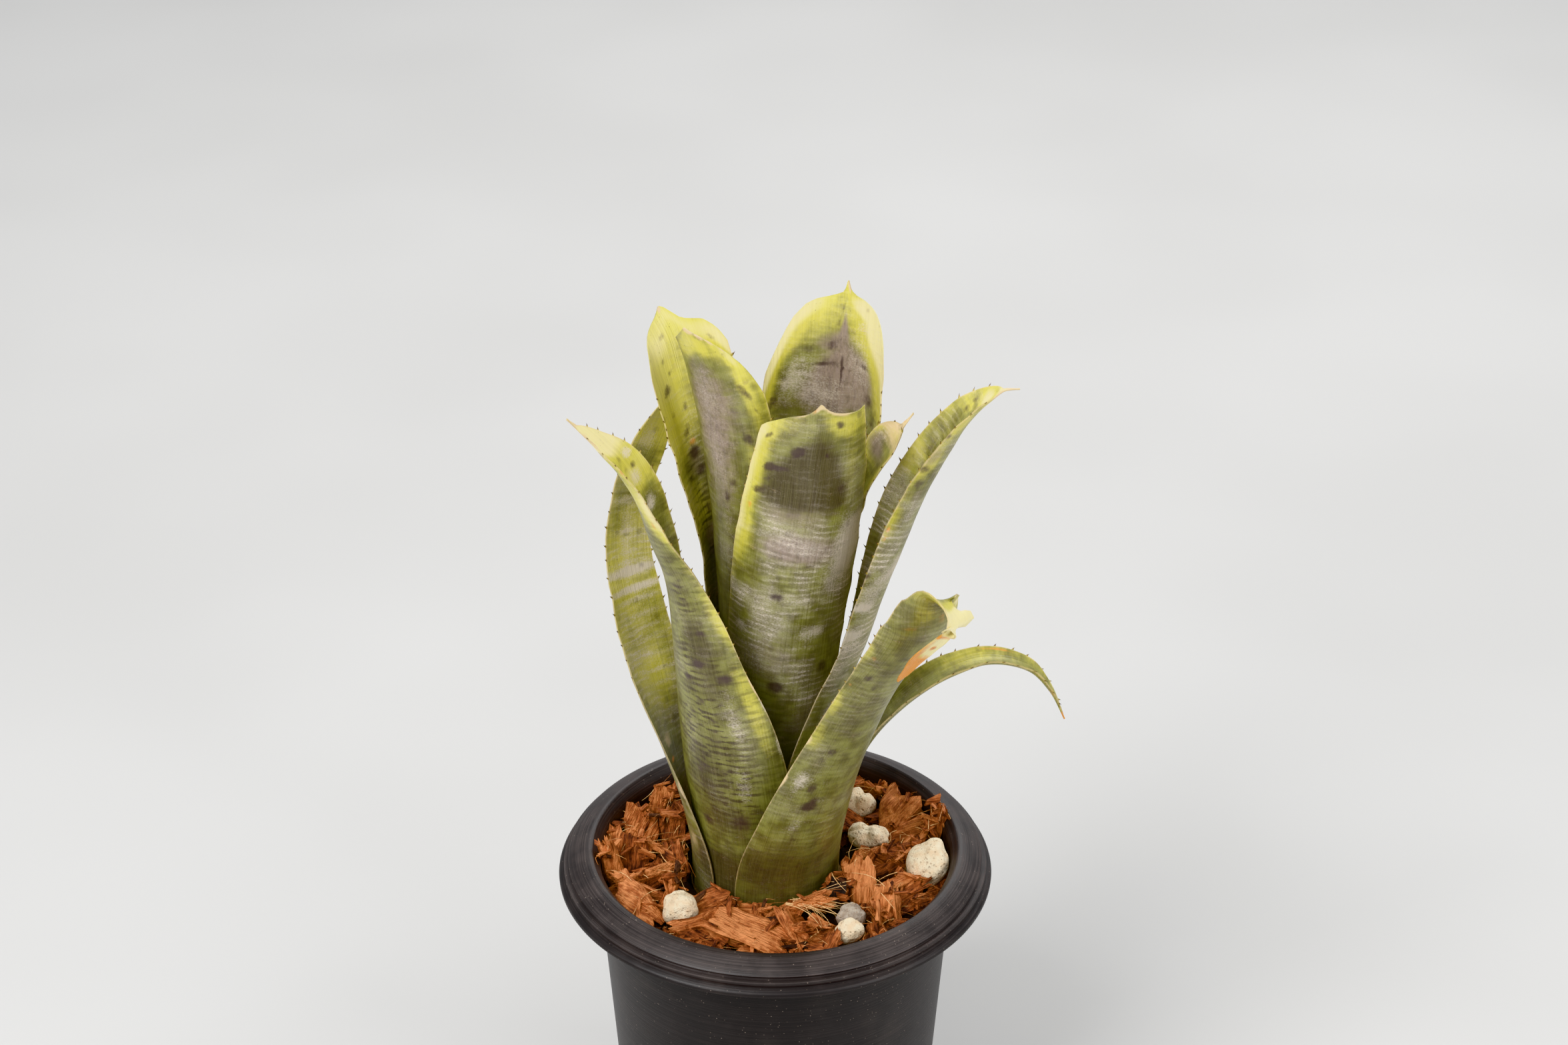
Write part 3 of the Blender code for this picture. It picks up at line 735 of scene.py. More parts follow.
    def build(self, material: bpy.types.Material) -> bpy.types.Object:
        """Closed blade, thinner towards its margins and its end.

        Each station is a loop: across the outer face, round the margin, back across the inner.
        Sides are spaced by a sine, so they are closest at the margins, with a few more in the
        middle for the horn. The pattern's third coordinate tells leaves and faces apart.

        Args:
            material: the leaves' finish.

        Returns:
            The piece.
        """
        horn = np.array(HORN_SIDES)
        spread = np.sin(np.linspace(-1, 1, self.across) * np.pi / 2)
        v = np.sort(np.concatenate([spread, -horn, horn]))
        u = np.linspace(0, 1, self.stations)
        u = u + 0.035 * np.sin(np.pi * u) * u
        share, side = np.meshgrid(u, v, indexing="ij")
        sheet = self.middle_surface(share, side)
        thick = self.thickness - (self.thickness - self.margin) * np.abs(side) ** 3
        thick = thick * (1 - 0.5 * smoothstep(0.9, 1.0, share))
        offset = sheet["normal"] * (thick / 2)[..., None]
        outer, inner = sheet["point"] - offset, sheet["point"] + offset
        loop = np.concatenate([outer, inner[:, ::-1]], axis=1) + PLANT
        rows, columns = loop.shape[:2]
        faces = [face for face in hoop_faces(rows, columns) if max(face) - min(face) < columns * 2]
        for row in (0, rows - 1):
            first = row * columns
            for j in range(len(v) - 1):
                strip = [first + j, first + j + 1, first + columns - 2 - j, first + columns - 1 - j]
                faces.append(strip if row else strip[::-1])
        blade = np.stack([side * sheet["half"], sheet["along"], np.full_like(side, self.side * 3.7)], axis=-1)
        values = {"blade": np.concatenate([blade, blade[:, ::-1] + [0, 0, 9.0]], axis=1)}
        for key, mask in self.tones(sheet, share).items():
            values[key] = np.concatenate([mask, mask[:, ::-1]], axis=1)
        piece = make_piece(f"{self.name}_blade", loop, faces, material, values)
        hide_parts(self.name)
        return piece

    def build_teeth(self, material: bpy.types.Material) -> bpy.types.Object:
        """Hooked teeth along both margins.

        A tooth is a cone whose middle goes out from the margin and bends towards the leaf's end;
        it is long along the margin and thin through the blade.

        Args:
            material: the teeth's finish.

        Returns:
            The piece.
        """
        draw = np.random.default_rng(int(self.side * 11 + self.layer * 10) % SEEDS)
        length = float(self.dense_course()[1][-1])
        first, last = self.spines
        share = np.tile(np.arange(first * length, last * length, self.spacing) / length, 2)
        side = np.repeat([-1.0, 1.0], len(share) // 2)
        share = np.clip(share + draw.uniform(-0.9, 0.9, len(share)) / length, 0, last)
        tall = draw.uniform(*self.tooth_height, len(share))
        tall = tall * (0.65 + 0.35 * smoothstep(first, first + 0.2, share))
        here = self.middle_surface(share, side)
        ahead = self.middle_surface(share + 0.004, side)["point"]
        within = self.middle_surface(share, side * 0.96)["point"]
        forward = unit(ahead - here["point"])
        out = here["point"] - within
        out = unit(out - (out * forward).sum(axis=-1, keepdims=True) * forward)
        normal = np.cross(forward, out)
        rows, columns = 5, 6
        t = np.concatenate([[0.0], np.linspace(0, 0.9, rows), [1.0]])
        ring = np.concatenate([[0.0], (1 - np.linspace(0, 0.9, rows)) ** 1.25, [0.0]])
        angle = np.arange(columns) * 2 * np.pi / columns
        reach = t[None, :, None] * tall[:, None, None]
        hook = forward[:, None] * (reach * t[None, :, None] * self.tooth_hook)
        middle = here["point"][:, None] + out[:, None] * (reach - self.tooth_sunk) + hook
        long, thin = self.tooth_foot
        around = (forward[:, None, None] * (long * ring[:, None] * np.cos(angle))[None, ..., None]
                  + normal[:, None, None] * (thin * ring[:, None] * np.sin(angle))[None, ..., None])
        rings = (middle[:, 1:-1, None] + around[:, 1:-1]).reshape(len(share), -1, 3)
        points = np.concatenate([middle[:, :1], rings, middle[:, -1:]], axis=1) + PLANT
        faces = repeated(sealed_faces(rows, columns), rows * columns + 2, len(share))
        value = np.concatenate([[0.0], np.repeat(t[1:-1], columns), [1.0]])
        values = {"reach": np.tile(value, len(share))}
        piece = make_piece(f"{self.name}_teeth", points, faces, material, values)
        return piece


FRONT = Blade(
    "leaf_front", 270, 13, 15, 6, 2.5,
    ((2.5, -13.5, 40, 17, 64, 270), (5.5, -15.5, 75, 19.5, 62, 272), (9.5, -18, 112, 21, 60, 275),
     (12, -18.5, 130, 20, 58, 276), (13.5, -19.5, 145, 18, 54, 276), (15, -21, 157, 15.5, 50, 276),
     (15.5, -21.5, 163.5, 14, 48, 276)),
    {Tone.GOLD: ((-1, 0.87, 5.5, 28.5, 1.15), (-0.88, 0.719, 4.4, 9.8, 0.6), (-0.85, 0.981, 7.2, 4.6, 0.2),
        (0.5, 0.98, 5.8, 4.8, 0.45), (0.66, 0.886, 3.5, 14, 0.3)),
     Tone.DEEP: ((-0.2, 0.864, 9.8, 9.4, 1.1), (0.09, 0.897, 6.8, 8.6, 0.95), (0.01, 0.831, 10.9, 6.3, 0.6),
        (-0.5, 0.824, 5, 4.8, 0.45), (0.33, 0.83, 5.4, 7.2, 0.55), (-0.07, 0.804, 8.8, 4.6, 0.25),
        (0, 0.501, 8.4, 0.9, 0.5)),
     Tone.DUSK: ((-0.11, 0.789, 10.8, 6.1, 0.6), (-0.17, 0.719, 9.2, 4.8, 0.95),
        (0.3, 0.719, 6.9, 5.8, 0.6), (-0.16, 0.501, 11.2, 9.3, 0.4), (0.44, 0.374, 8.7, 12, 0.4)),
     # the strongest pale mark, at side 0.79 and share 0.733, is a painted highlight on the lit right margin;
     # the others are pale scales
     Tone.PALE_AND_HIGHLIGHT: ((-0.02, 0.771, 8.7, 2.2, 0.25), (0.79, 0.733, 6.9, 9.7, 1.2),
        (0.61, 0.659, 6.5, 8.8, 0.75), (-0.74, 0.544, 3, 2.8, 0.8), (0.33, 0.554, 4.4, 2.8, 0.8),
        (0.14, 0.523, 5, 1.1, 0.45), (-0.46, 0.476, 1.7, 5.1, 0.45), (-0.12, 0.631, 7.2, 1.8, 0.25),
        (0.26, 0.371, 3.7, 7.1, 0.25)),
     Tone.SCURF: ((0.62, 0.68, 10, 15.9, 0.6), (-0.07, 0.756, 11.2, 5.8, 0.2),
        (-0.4, 0.67, 9.4, 9.1, 0.15)),
     Tone.BLOTCH: ((-0.27, 0.924, 2.1, 2.3, 1.25), (-0.66, 0.891, 1.9, 1.9, 1.2),
        (-0.47, 0.886, 2.6, 1.3, 0.9), (0.39, 0.98, 1.5, 1.3, 1.1), (-0.79, 0.966, 1.2, 1.4, 0.8),
        (-0.75, 0.831, 2.5, 2.1, 0.85), (0.18, 0.914, 0.6, 1.2, 0.9), (-0.66, 0.861, 1.2, 1.4, 0.7),
        (0.46, 0.843, 1.8, 2, 0.65), (-0.22, 0.624, 2.4, 1.6, 0.95), (-0.12, 0.444, 2.7, 2.4, 1),
        (0.58, 0.48, 1.9, 2.8, 0.85), (0.15, 0.69, 2, 1.1, 0.6), (-0.01, 0.673, 1.5, 1.1, 0.5),
        (1, 0.634, 1.9, 2.1, 1)),
     Tone.RUST: ((-0.84, 0.786, 1, 1.7, 0.6), (-0.11, 1, 0.7, 1.1, 0.6)),
     Tone.PAPER: ((-0.01, 1, 1.4, 1.5, 1.2), (0.38, 1, 4.5, 0.7, 1), (-0.34, 1, 2.5, 0.6, 0.6)),
     Tone.BARS: ((-0.06, 0.666, 11.4, 13.6, 0.35), (-0.04, 0.421, 9.7, 14.1, 0.35))},
    cut=((-1, 12.2), (-0.93, 10.4), (-0.85, 9), (-0.7, 6.8), (-0.55, 5.2), (-0.4, 4.4), (-0.25, 3.6),
         (-0.12, 2.4), (-0.05, 0.9), (0, 0), (0.05, 0.4), (0.12, 1.7), (0.25, 2.9), (0.4, 3.6), (0.55, 4),
         (0.7, 4.3), (0.85, 4.3), (1, 3.6)),
    gilt=(0.92, 0.99, 0.25), edging=0.3, scurf=0.95, bars=0.15)

MID_LEFT = Blade(
    "leaf_mid_left", 203, 11.5, 12.5, 10, 2,
    ((-9, -4, 40, 15, 60, 210), (-9.5, -5.5, 85, 16.5, 58, 220), (-10.3, -4.5, 120, 16.5, 54, 226),
     (-11.8, -3.5, 139, 16, 52, 230), (-14.5, -3, 156, 15.5, 50, 232), (-18.5, -3, 169, 13.5, 46, 232),
     (-22.5, -3, 178, 11.5, 42, 232)),
    {Tone.DUSK: ((-0.09, 0.874, 9.8, 13.7, 0.8), (-0.16, 0.77, 7.5, 12.4, 0.65),
        (-0.06, 0.669, 5.1, 12.5, 0.35)),
     Tone.PALE_AND_HIGHLIGHT: ((-0.16, 0.876, 8.1, 12.4, 0.26), (-0.17, 0.769, 4.7, 11.1, 0.24),
        (-0.04, 0.659, 2.8, 10.3, 0.22)),
     Tone.GOLD: ((0.73, 0.92, 2.2, 13.1, 0.75), (0.65, 0.997, 2.9, 4.1, 0.85), (-0.06, 0.977, 6, 3.8, 0.85),
        (0.59, 0.786, 2.3, 12.2, 0.4)),
     Tone.PAPER: ((0.05, 1, 1.1, 1.3, 1.2), (0.29, 1, 1.1, 1, 1.1), (0.64, 1, 0.5, 0.6, 0.7),
        (0.48, 1, 0.8, 0.9, 0.9)),
     Tone.BLOTCH: ((0.68, 0.927, 1.6, 2.9, 0.85), (0.79, 0.9, 0.7, 1.5, 0.7), (0.55, 0.823, 2, 2.7, 0.9),
        (0.16, 0.737, 1.6, 1.9, 0.75), (0.01, 0.711, 1.3, 2.1, 0.75), (0.04, 0.783, 1.9, 1.9, 0.45),
        (0.03, 0.859, 1.5, 1.2, 0.45), (0.14, 0.961, 1.1, 1.3, 0.4), (-0.01, 0.83, 1.5, 2, 0.35),
        (0.25, 0.701, 1.1, 1.7, 0.45))},
    cut=((-1, 8), (-0.85, 5.9), (-0.7, 4.9), (-0.55, 3.9), (-0.4, 2.9), (-0.25, 1.9), (-0.12, 0.9), (0, 0),
         (0.12, 1.4), (0.25, 2.8), (0.4, 4.6), (0.55, 7), (0.7, 10), (0.85, 14), (0.93, 18), (1, 23.5)),
    gilt=(0.9, 1, 0.3), edging=0.3, scurf=0.45, bars=0.1)

BACK_LEFT = Blade(
    "leaf_back_left", 142, 16, 16, 13, 2.5,
    ((-12.7, 10, 40, 16, 56, 141), (-12.7, 11, 70, 13.3, 44, 139), (-13.2, 12.6, 87, 11, 42, 138),
     (-14, 14, 105, 12.5, 46, 134), (-16.5, 16, 120, 14.5, 45, 132), (-19.5, 18, 136, 15.5, 42, 130),
     (-23.5, 21, 152, 15.5, 40, 130), (-27, 24, 164, 14.5, 36, 130), (-30.5, 26, 170.5, 13, 30, 130)),
    {Tone.GOLD: ((0.45, 0.986, 8.4, 7.9, 0.7), (-0.65, 0.984, 9, 3.7, 0.75), (0.49, 0.916, 7, 9.8, 0.55),
        (0.51, 0.82, 8.2, 11.5, 0.5), (0.53, 0.673, 6.6, 9, 0.65)),
     Tone.PAPER: ((0.04, 0.997, 0.8, 1, 1), (-0.72, 1, 0.7, 0.5, 0.4)),
     Tone.BLOTCH: ((0.58, 0.889, 1.9, 2, 0.9), (0.35, 0.909, 1.1, 1, 0.8), (0.49, 0.934, 1.1, 1.1, 0.7),
        (0.3, 0.97, 1.5, 1.5, 0.6), (-0.71, 0.974, 1.2, 1.2, 0.6), (0.21, 0.84, 1.4, 1.3, 0.8),
        (0.59, 0.844, 1.6, 1.3, 0.5), (0.26, 0.761, 2.7, 2.8, 1), (0.18, 0.727, 2, 1.8, 0.9),
        (0.34, 0.799, 1.7, 1.7, 0.7), (0.21, 0.663, 1.5, 2.2, 0.8), (0.51, 0.72, 1.9, 1, 0.6)),
     Tone.RUST: ((0.24, 0.78, 1.3, 1.2, 0.8),),
     Tone.PALE_AND_HIGHLIGHT: ((0.16, 0.803, 3.8, 7.2, 0.25),),
     Tone.BARS: ((0.3, 0.736, 5, 10.3, 0.9), (0.34, 0.631, 5, 10.3, 0.9)),
     Tone.DUSK: ((0.28, 0.606, 4.2, 7.4, 0.7), (0.26, 0.747, 4.1, 6.2, 0.55), (0.21, 0.923, 3.5, 5.4, 0.3)),
     Tone.DEEP: ((0.09, 0.516, 2.4, 6.5, 0.3),)},
    cut=((-1, 15.5), (-0.93, 12.8), (-0.85, 10.9), (-0.7, 8.6), (-0.55, 7.8), (-0.4, 6.9), (-0.25, 5.2),
         (-0.14, 1.6), (0, 0), (0.12, 1.4), (0.25, 2.4), (0.4, 3.2), (0.55, 4.2), (0.7, 5.6), (0.85, 8.5),
         (0.93, 12), (1, 18)),
    gilt=(0.62, 0.92, 0.5), edge_reach=4, scurf=0.75, bars=0.2)

BACK = Blade(
    "leaf_back", 74, 14.5, 15, 13, 4,
    ((5, 13.8, 40, 14.5, 57, 70), (8.5, 14.2, 68, 12, 46, 62), (12.8, 16.3, 86, 11.5, 42, 57),
     (17, 20, 108, 17, 50, 58), (21.5, 23.7, 136, 24, 58, 55), (22.5, 26, 150, 23, 55, 55),
     (23, 29, 161, 20, 50, 55), (23.5, 32, 170, 16.5, 45, 55), (23.7, 34, 175.5, 13, 40, 55)),
    {Tone.DUSK: ((0.01, 0.856, 7.9, 12.3, 1), (0.01, 0.929, 1.8, 4.8, 0.6), (-0.32, 0.857, 6.4, 9.8, 0.8),
        (0.26, 0.819, 7.3, 10.5, 0.85), (0.25, 0.923, 4.4, 3.2, 0.5), (0.71, 0.8, 4.1, 6.1, 0.3)),
     Tone.GOLD: ((-0.71, 0.973, 5.8, 10.5, 0.75), (-0.82, 0.906, 11.5, 17.2, 0.8),
        (0.62, 0.991, 5.5, 4.3, 0.75), (0.95, 0.981, 2.4, 34.4, 0.75), (-0.32, 0.987, 4.8, 2.8, 0.8),
        (0.75, 0.954, 2.8, 7.2, 0.3)),
     Tone.PAPER: ((-0.04, 1, 0.5, 1.9, 1.2),),
     Tone.PALE_AND_HIGHLIGHT: ((0.65, 0.864, 3.8, 7.9, 0.5), (0.18, 0.811, 6.7, 7.9, 0.46), (-0.3, 0.893, 5.8, 10.2, 0.4),
        (0.43, 0.843, 3.5, 10.2, 0.4), (0.7, 0.823, 3.8, 7.3, 0.42), (-0.38, 0.957, 2.7, 2.5, 0.45)),
     Tone.BLOTCH: ((0.03, 0.86, 0.5, 6.2, 1), (0.04, 0.967, 0.6, 2, 0.5), (0.19, 0.913, 2.3, 2, 0.85),
        (0.88, 0.807, 2, 4.3, 0.8), (0.51, 0.909, 2.3, 2.2, 0.6), (-0.36, 0.89, 2, 1.1, 0.8),
        (-0.47, 0.837, 2.8, 2.5, 0.8), (0.39, 0.813, 2.3, 2, 0.5), (-0.15, 0.94, 1.9, 1.7, 0.5),
        (0.11, 0.951, 1, 2.1, 0.6), (-0.6, 0.8, 2.7, 1.9, 0.6), (0.28, 0.883, 1.6, 2.4, 0.4),
        (0.01, 0.863, 0.7, 0.5, 0.8), (0.33, 0.879, 6.6, 0.8, 0.6)),
     Tone.RUST: ((-0.35, 0.954, 1.2, 0.9, 0.4),)},
    cut=((-1, 20), (-0.93, 15.5), (-0.85, 12), (-0.7, 8.8), (-0.55, 7.2), (-0.4, 6), (-0.25, 5.2),
         (-0.14, 4.6), (-0.06, 3.2), (0, 0), (0.04, 3), (0.1, 4.3), (0.25, 5.1), (0.4, 5.9), (0.55, 6.6),
         (0.7, 8.2), (0.85, 13), (0.93, 20), (1, 30)),
    gilt=(0.88, 0.97, 0.6), edging=0.45, edge_reach=5.5, scurf=0.5, bars=0)

HEART = Blade(
    "leaf_heart", 15, 10, 11, 14, 5,
    ((11, 2, 40, 10, 56, 15), (15, 1, 80, 8, 46, 20), (20.5, 0.5, 106, 6.5, 42, 25),
     (25, 0.7, 120, 4.8, 36, 25), (29.5, -1, 131, 5.6, 38, 25), (36, -2.4, 143, 8.3, 42, 25),
     (41.5, -2.5, 151, 8, 40, 25)),
    {Tone.DUSK: ((0.58, 0.91, 3.8, 4.4, 0.75), (-0.19, 0.896, 4.2, 2.8, 0.5)),
     Tone.GOLD: ((0, 0.959, 4.8, 3.3, 0.6), (1, 0.924, 1.8, 2.1, 0.4)),
     Tone.PAPER: ((0.89, 1, 1.6, 1.8, 1.2), (1, 0.969, 2.7, 4, 0.75), (-0.11, 0.946, 6.8, 4.5, 0.65)),
     Tone.RUST: ((0.94, 0.979, 0.8, 0.8, 0.4),),
     Tone.PALE_AND_HIGHLIGHT: ((0.48, 0.927, 3.4, 3.8, 0.35),)},
    gilt=(0.6, 0.92, 0.3), scurf=0.5, bars=0)

RIGHT = Blade(
    "leaf_right", -20, 17.5, 21, 15, 4.5,
    ((18, -9, 40, 18, 52, -20), (23, -9.5, 64, 16, 45, -16), (29, -10, 82, 15, 50, -10),
     (33, -10.5, 96, 14.5, 62, -6), (36.8, -11, 108, 14.5, 72, -2), (41.8, -11.5, 123, 14.5, 78, 0),
     (46.8, -12, 136, 13, 74, 0), (52, -13, 147, 11, 66, 0), (57, -14, 156, 8.6, 50, -2),
     (62, -15.2, 162, 6.8, 32, -5), (66, -16.6, 165.5, 5.4, 20, -8), (70, -17, 166, 3, 20, -10)),
    {Tone.PAPER: ((0.85, 0.99, 2, 1.8, 1), (-1, 0.971, 2.3, 1.1, 0.6)),
     Tone.GOLD: ((0.09, 0.946, 4, 3.3, 1.3), (-0.7, 0.977, 4.7, 2.3, 1.2), (0.49, 0.913, 2.6, 2.4, 0.5),
        (-1, 0.907, 4.2, 3.6, 0.45), (-0.88, 0.83, 2.9, 4.4, 0.4), (0.79, 0.781, 3.2, 5.8, 0.45),
        (-0.9, 0.719, 2.5, 5.6, 0.3)),
     Tone.BLOTCH: ((0.56, 0.923, 1, 1, 0.8), (0.49, 0.904, 1.5, 1.3, 0.7), (-1, 0.884, 1.5, 1.4, 0.6),
        (-0.91, 0.821, 1.8, 1.6, 0.85), (-0.8, 0.794, 1.9, 1.9, 0.8), (0.59, 0.811, 1.3, 1.4, 0.5),
        (-0.94, 0.773, 1.3, 1.5, 0.5), (-1, 0.624, 1.5, 1.3, 0.8), (-1, 0.61, 1.3, 1.2, 0.6)),
     Tone.DUSK: ((-0.93, 0.843, 2.4, 3.6, 0.6), (-0.66, 0.771, 2.2, 3.8, 0.45)),
     Tone.PALE_AND_HIGHLIGHT: ((-0.22, 0.633, 7.3, 6.2, 0.85), (-0.6, 0.741, 2.7, 4.3, 0.6),
        (-0.75, 0.586, 4.3, 7.8, 0.7), (-0.84, 0.517, 4.3, 1.6, 1.1), (-1, 0.507, 5, 5.8, 0.7),
        (-0.82, 0.567, 3.6, 1.4, 0.8), (-0.85, 0.449, 3.2, 3.9, 0.65), (-0.54, 0.364, 3.6, 4.9, 0.6),
        (-0.8, 0.48, 4, 2.5, 0.45), (-0.16, 0.389, 3.9, 2.3, 0.45)),
     Tone.RUST: ((-0.94, 0.71, 0.6, 1.2, 0.75), (-0.93, 0.693, 0.6, 1, 0.5)),
     Tone.SCURF: ((-0.59, 0.631, 4.5, 8.4, 0.6), (-0.89, 0.487, 6.1, 12.9, 0.5)),
     Tone.DEEP: ((-0.93, 0.423, 0.7, 1.5, 0.5),)},
    gilt=(0.6, 0.95, 0.3), edging=0.3, scurf=1.1, bars=0.25, spines=(0.42, 0.96))

FRONT_RIGHT = Blade(
    "leaf_front_right", -66, 22.5, 19, 3, 1,
    ((14, -27, 27, 17, 46, -62), (19, -31, 45, 15, 45, -60), (25, -34.5, 62, 13.5, 46, -58),
     (32, -39.5, 80, 13, 48, -56), (39.3, -43.5, 94, 14, 50, -55), (45.2, -48, 107, 13.7, 54, -54),
     (45.9, -50.9, 116.2, 9, 50, -52), (46.8, -53.5, 120, 5.8, 32, -48), (49.3, -56, 118.9, 4.8, 18, -46),
     (50.9, -57.1, 117, 4.9, 14, -47), (51.9, -57.8, 115.1, 8.6, 10, -48), (49.4, -58.4, 113, 5.4, 12, -50),
     (46.6, -58.8, 110.4, 4.4, 16, -54), (42.6, -58, 106, 3.3, 18, -62), (39.6, -56.2, 100.6, 2, 20, -66),
     (36.6, -53.8, 94.6, 1.2, 20, -66)),
    {Tone.GOLD: ((-0.3, 0.85, 21.9, 4.2, 1.6), (0.86, 0.754, 2.7, 3.3, 1.5), (0.54, 0.896, 5.2, 4, 1.4),
        (0.86, 0.937, 2.6, 3.9, 0.9), (-0.47, 0.787, 4.2, 3, 0.25), (-0.14, 0.757, 3.7, 4.1, 0.5),
        (-0.95, 0.51, 2.4, 5.1, 0.55), (-0.99, 0.641, 2.6, 4.1, 0.3), (-0.93, 0.427, 3.2, 6.1, 0.5)),
     Tone.PALE_AND_HIGHLIGHT: ((-1, 0.85, 9.6, 0.3, 0.5), (0.03, 0.779, 1.9, 3.9, 0.25), (-0.61, 0.791, 1.5, 0.9, 0.25),
        (-0.69, 0.33, 2.7, 3, 0.55), (-0.71, 0.31, 1.6, 3.9, 0.4), (-0.42, 0.224, 1.8, 4.9, 0.4),
        (-0.14, 0.279, 3.7, 2, 0.3)),
     Tone.RUST: ((-1, 0.873, 11.9, 0.8, 0.9), (0.18, 0.9, 1.3, 1, 0.9), (0.48, 0.944, 2.6, 4, 1),
        (0.18, 0.971, 3, 4.2, 1.2), (-0.89, 0.987, 2.6, 2.8, 1.2), (0.25, 0.739, 0.9, 2.4, 0.5),
        (-0.52, 0.726, 2.7, 1.2, 0.3), (-0.8, 0.636, 0.6, 1, 0.5), (-0.9, 0.56, 0.6, 1.1, 0.4),
        (-0.9, 0.93, 2.4, 8, 0.8)),
     Tone.DEEP: ((-0.3, 0.704, 4, 9.2, 0.35), (-0.31, 0.613, 4.5, 7.3, 0.45),
        (-0.35, 0.481, 6.3, 11.8, 0.45), (-0.49, 0.119, 13.6, 9.1, 0.4), (0.36, 0.146, 3.3, 9.9, 0.3)),
     Tone.DUSK: ((-0.62, 0.8, 4.2, 1.9, 0.2),),
     Tone.PAPER: ((-1, 0.316, 1, 2.9, 0.55), (-0.96, 0.413, 0.8, 2.1, 0.35)),
     Tone.BLOTCH: ((-0.42, 0.313, 1.4, 2.5, 0.95), (-0.31, 0.27, 2.9, 2.2, 1.1),
        (-0.26, 0.287, 1.3, 2, 0.7), (-0.36, 0.197, 1.8, 4.6, 0.6), (-0.42, 0.401, 2.2, 1.7, 0.75),
        (-0.54, 0.38, 1.8, 1.6, 0.7), (-0.64, 0.586, 1.4, 1.5, 0.9), (-0.39, 0.567, 1.3, 1.3, 0.7),
        (-0.55, 0.519, 1.2, 1.3, 0.6), (-0.85, 0.273, 0.6, 1.3, 0.5), (-0.26, 0.137, 1.6, 1.8, 0.45),
        (0.11, 0.176, 1.8, 2.9, 0.45), (-0.44, 0.657, 1.2, 1.3, 0.45), (-0.45, 0.446, 0.8, 1.1, 0.5),
        (-0.5, 0.63, 0.8, 1, 0.4))},
    cant=((0, 0), (112, 0), (124, -6), (132, -17), (138, -30), (143, -36), (145, -30), (147.3, -14),
          (149, -26), (152, -8), (156, 0), (178, 0)),
    gilt=(0.78, 0.83, 0.9), edging=0.25, scurf=0.25, bars=0.35, spines=(0.42, 0.73), stations=250)

LOW_RIGHT = Blade(
    "leaf_low_right", 8, 19, 17, 30, 3,
    ((25, 1, 26, 12, 45, 6), (30.5, 2, 40, 9, 45, 6), (38.5, 4, 49, 7.5, 45, 6), (46, 6, 55, 7, 45, 6),
     (55, 8, 59.5, 6.5, 45, 6), (63, 10, 61.5, 5.5, 45, 6), (71, 11, 61, 5, 45, 6),
     (78, 12, 58, 4.5, 40, 6), (84, 12, 51, 3.8, 40, 6), (89, 12, 40, 2, 30, 6)),
    {Tone.GOLD: ((0.39, 0.684, 3.9, 7.4, 0.35),),
     Tone.RUST: ((-1, 0.993, 3.8, 2, 1.3), (0.83, 0.756, 0.5, 5.4, 0.6), (-0.76, 0.909, 2.4, 2.1, 0.35)),
     Tone.DEEP: ((-0.22, 0.54, 17.2, 7, 0.35),)},
    gilt=(0.3, 0.8, 0.3), edging=0.2, scurf=0.1, bars=0.1, spines=(0.4, 0.95), stations=180, across=25)

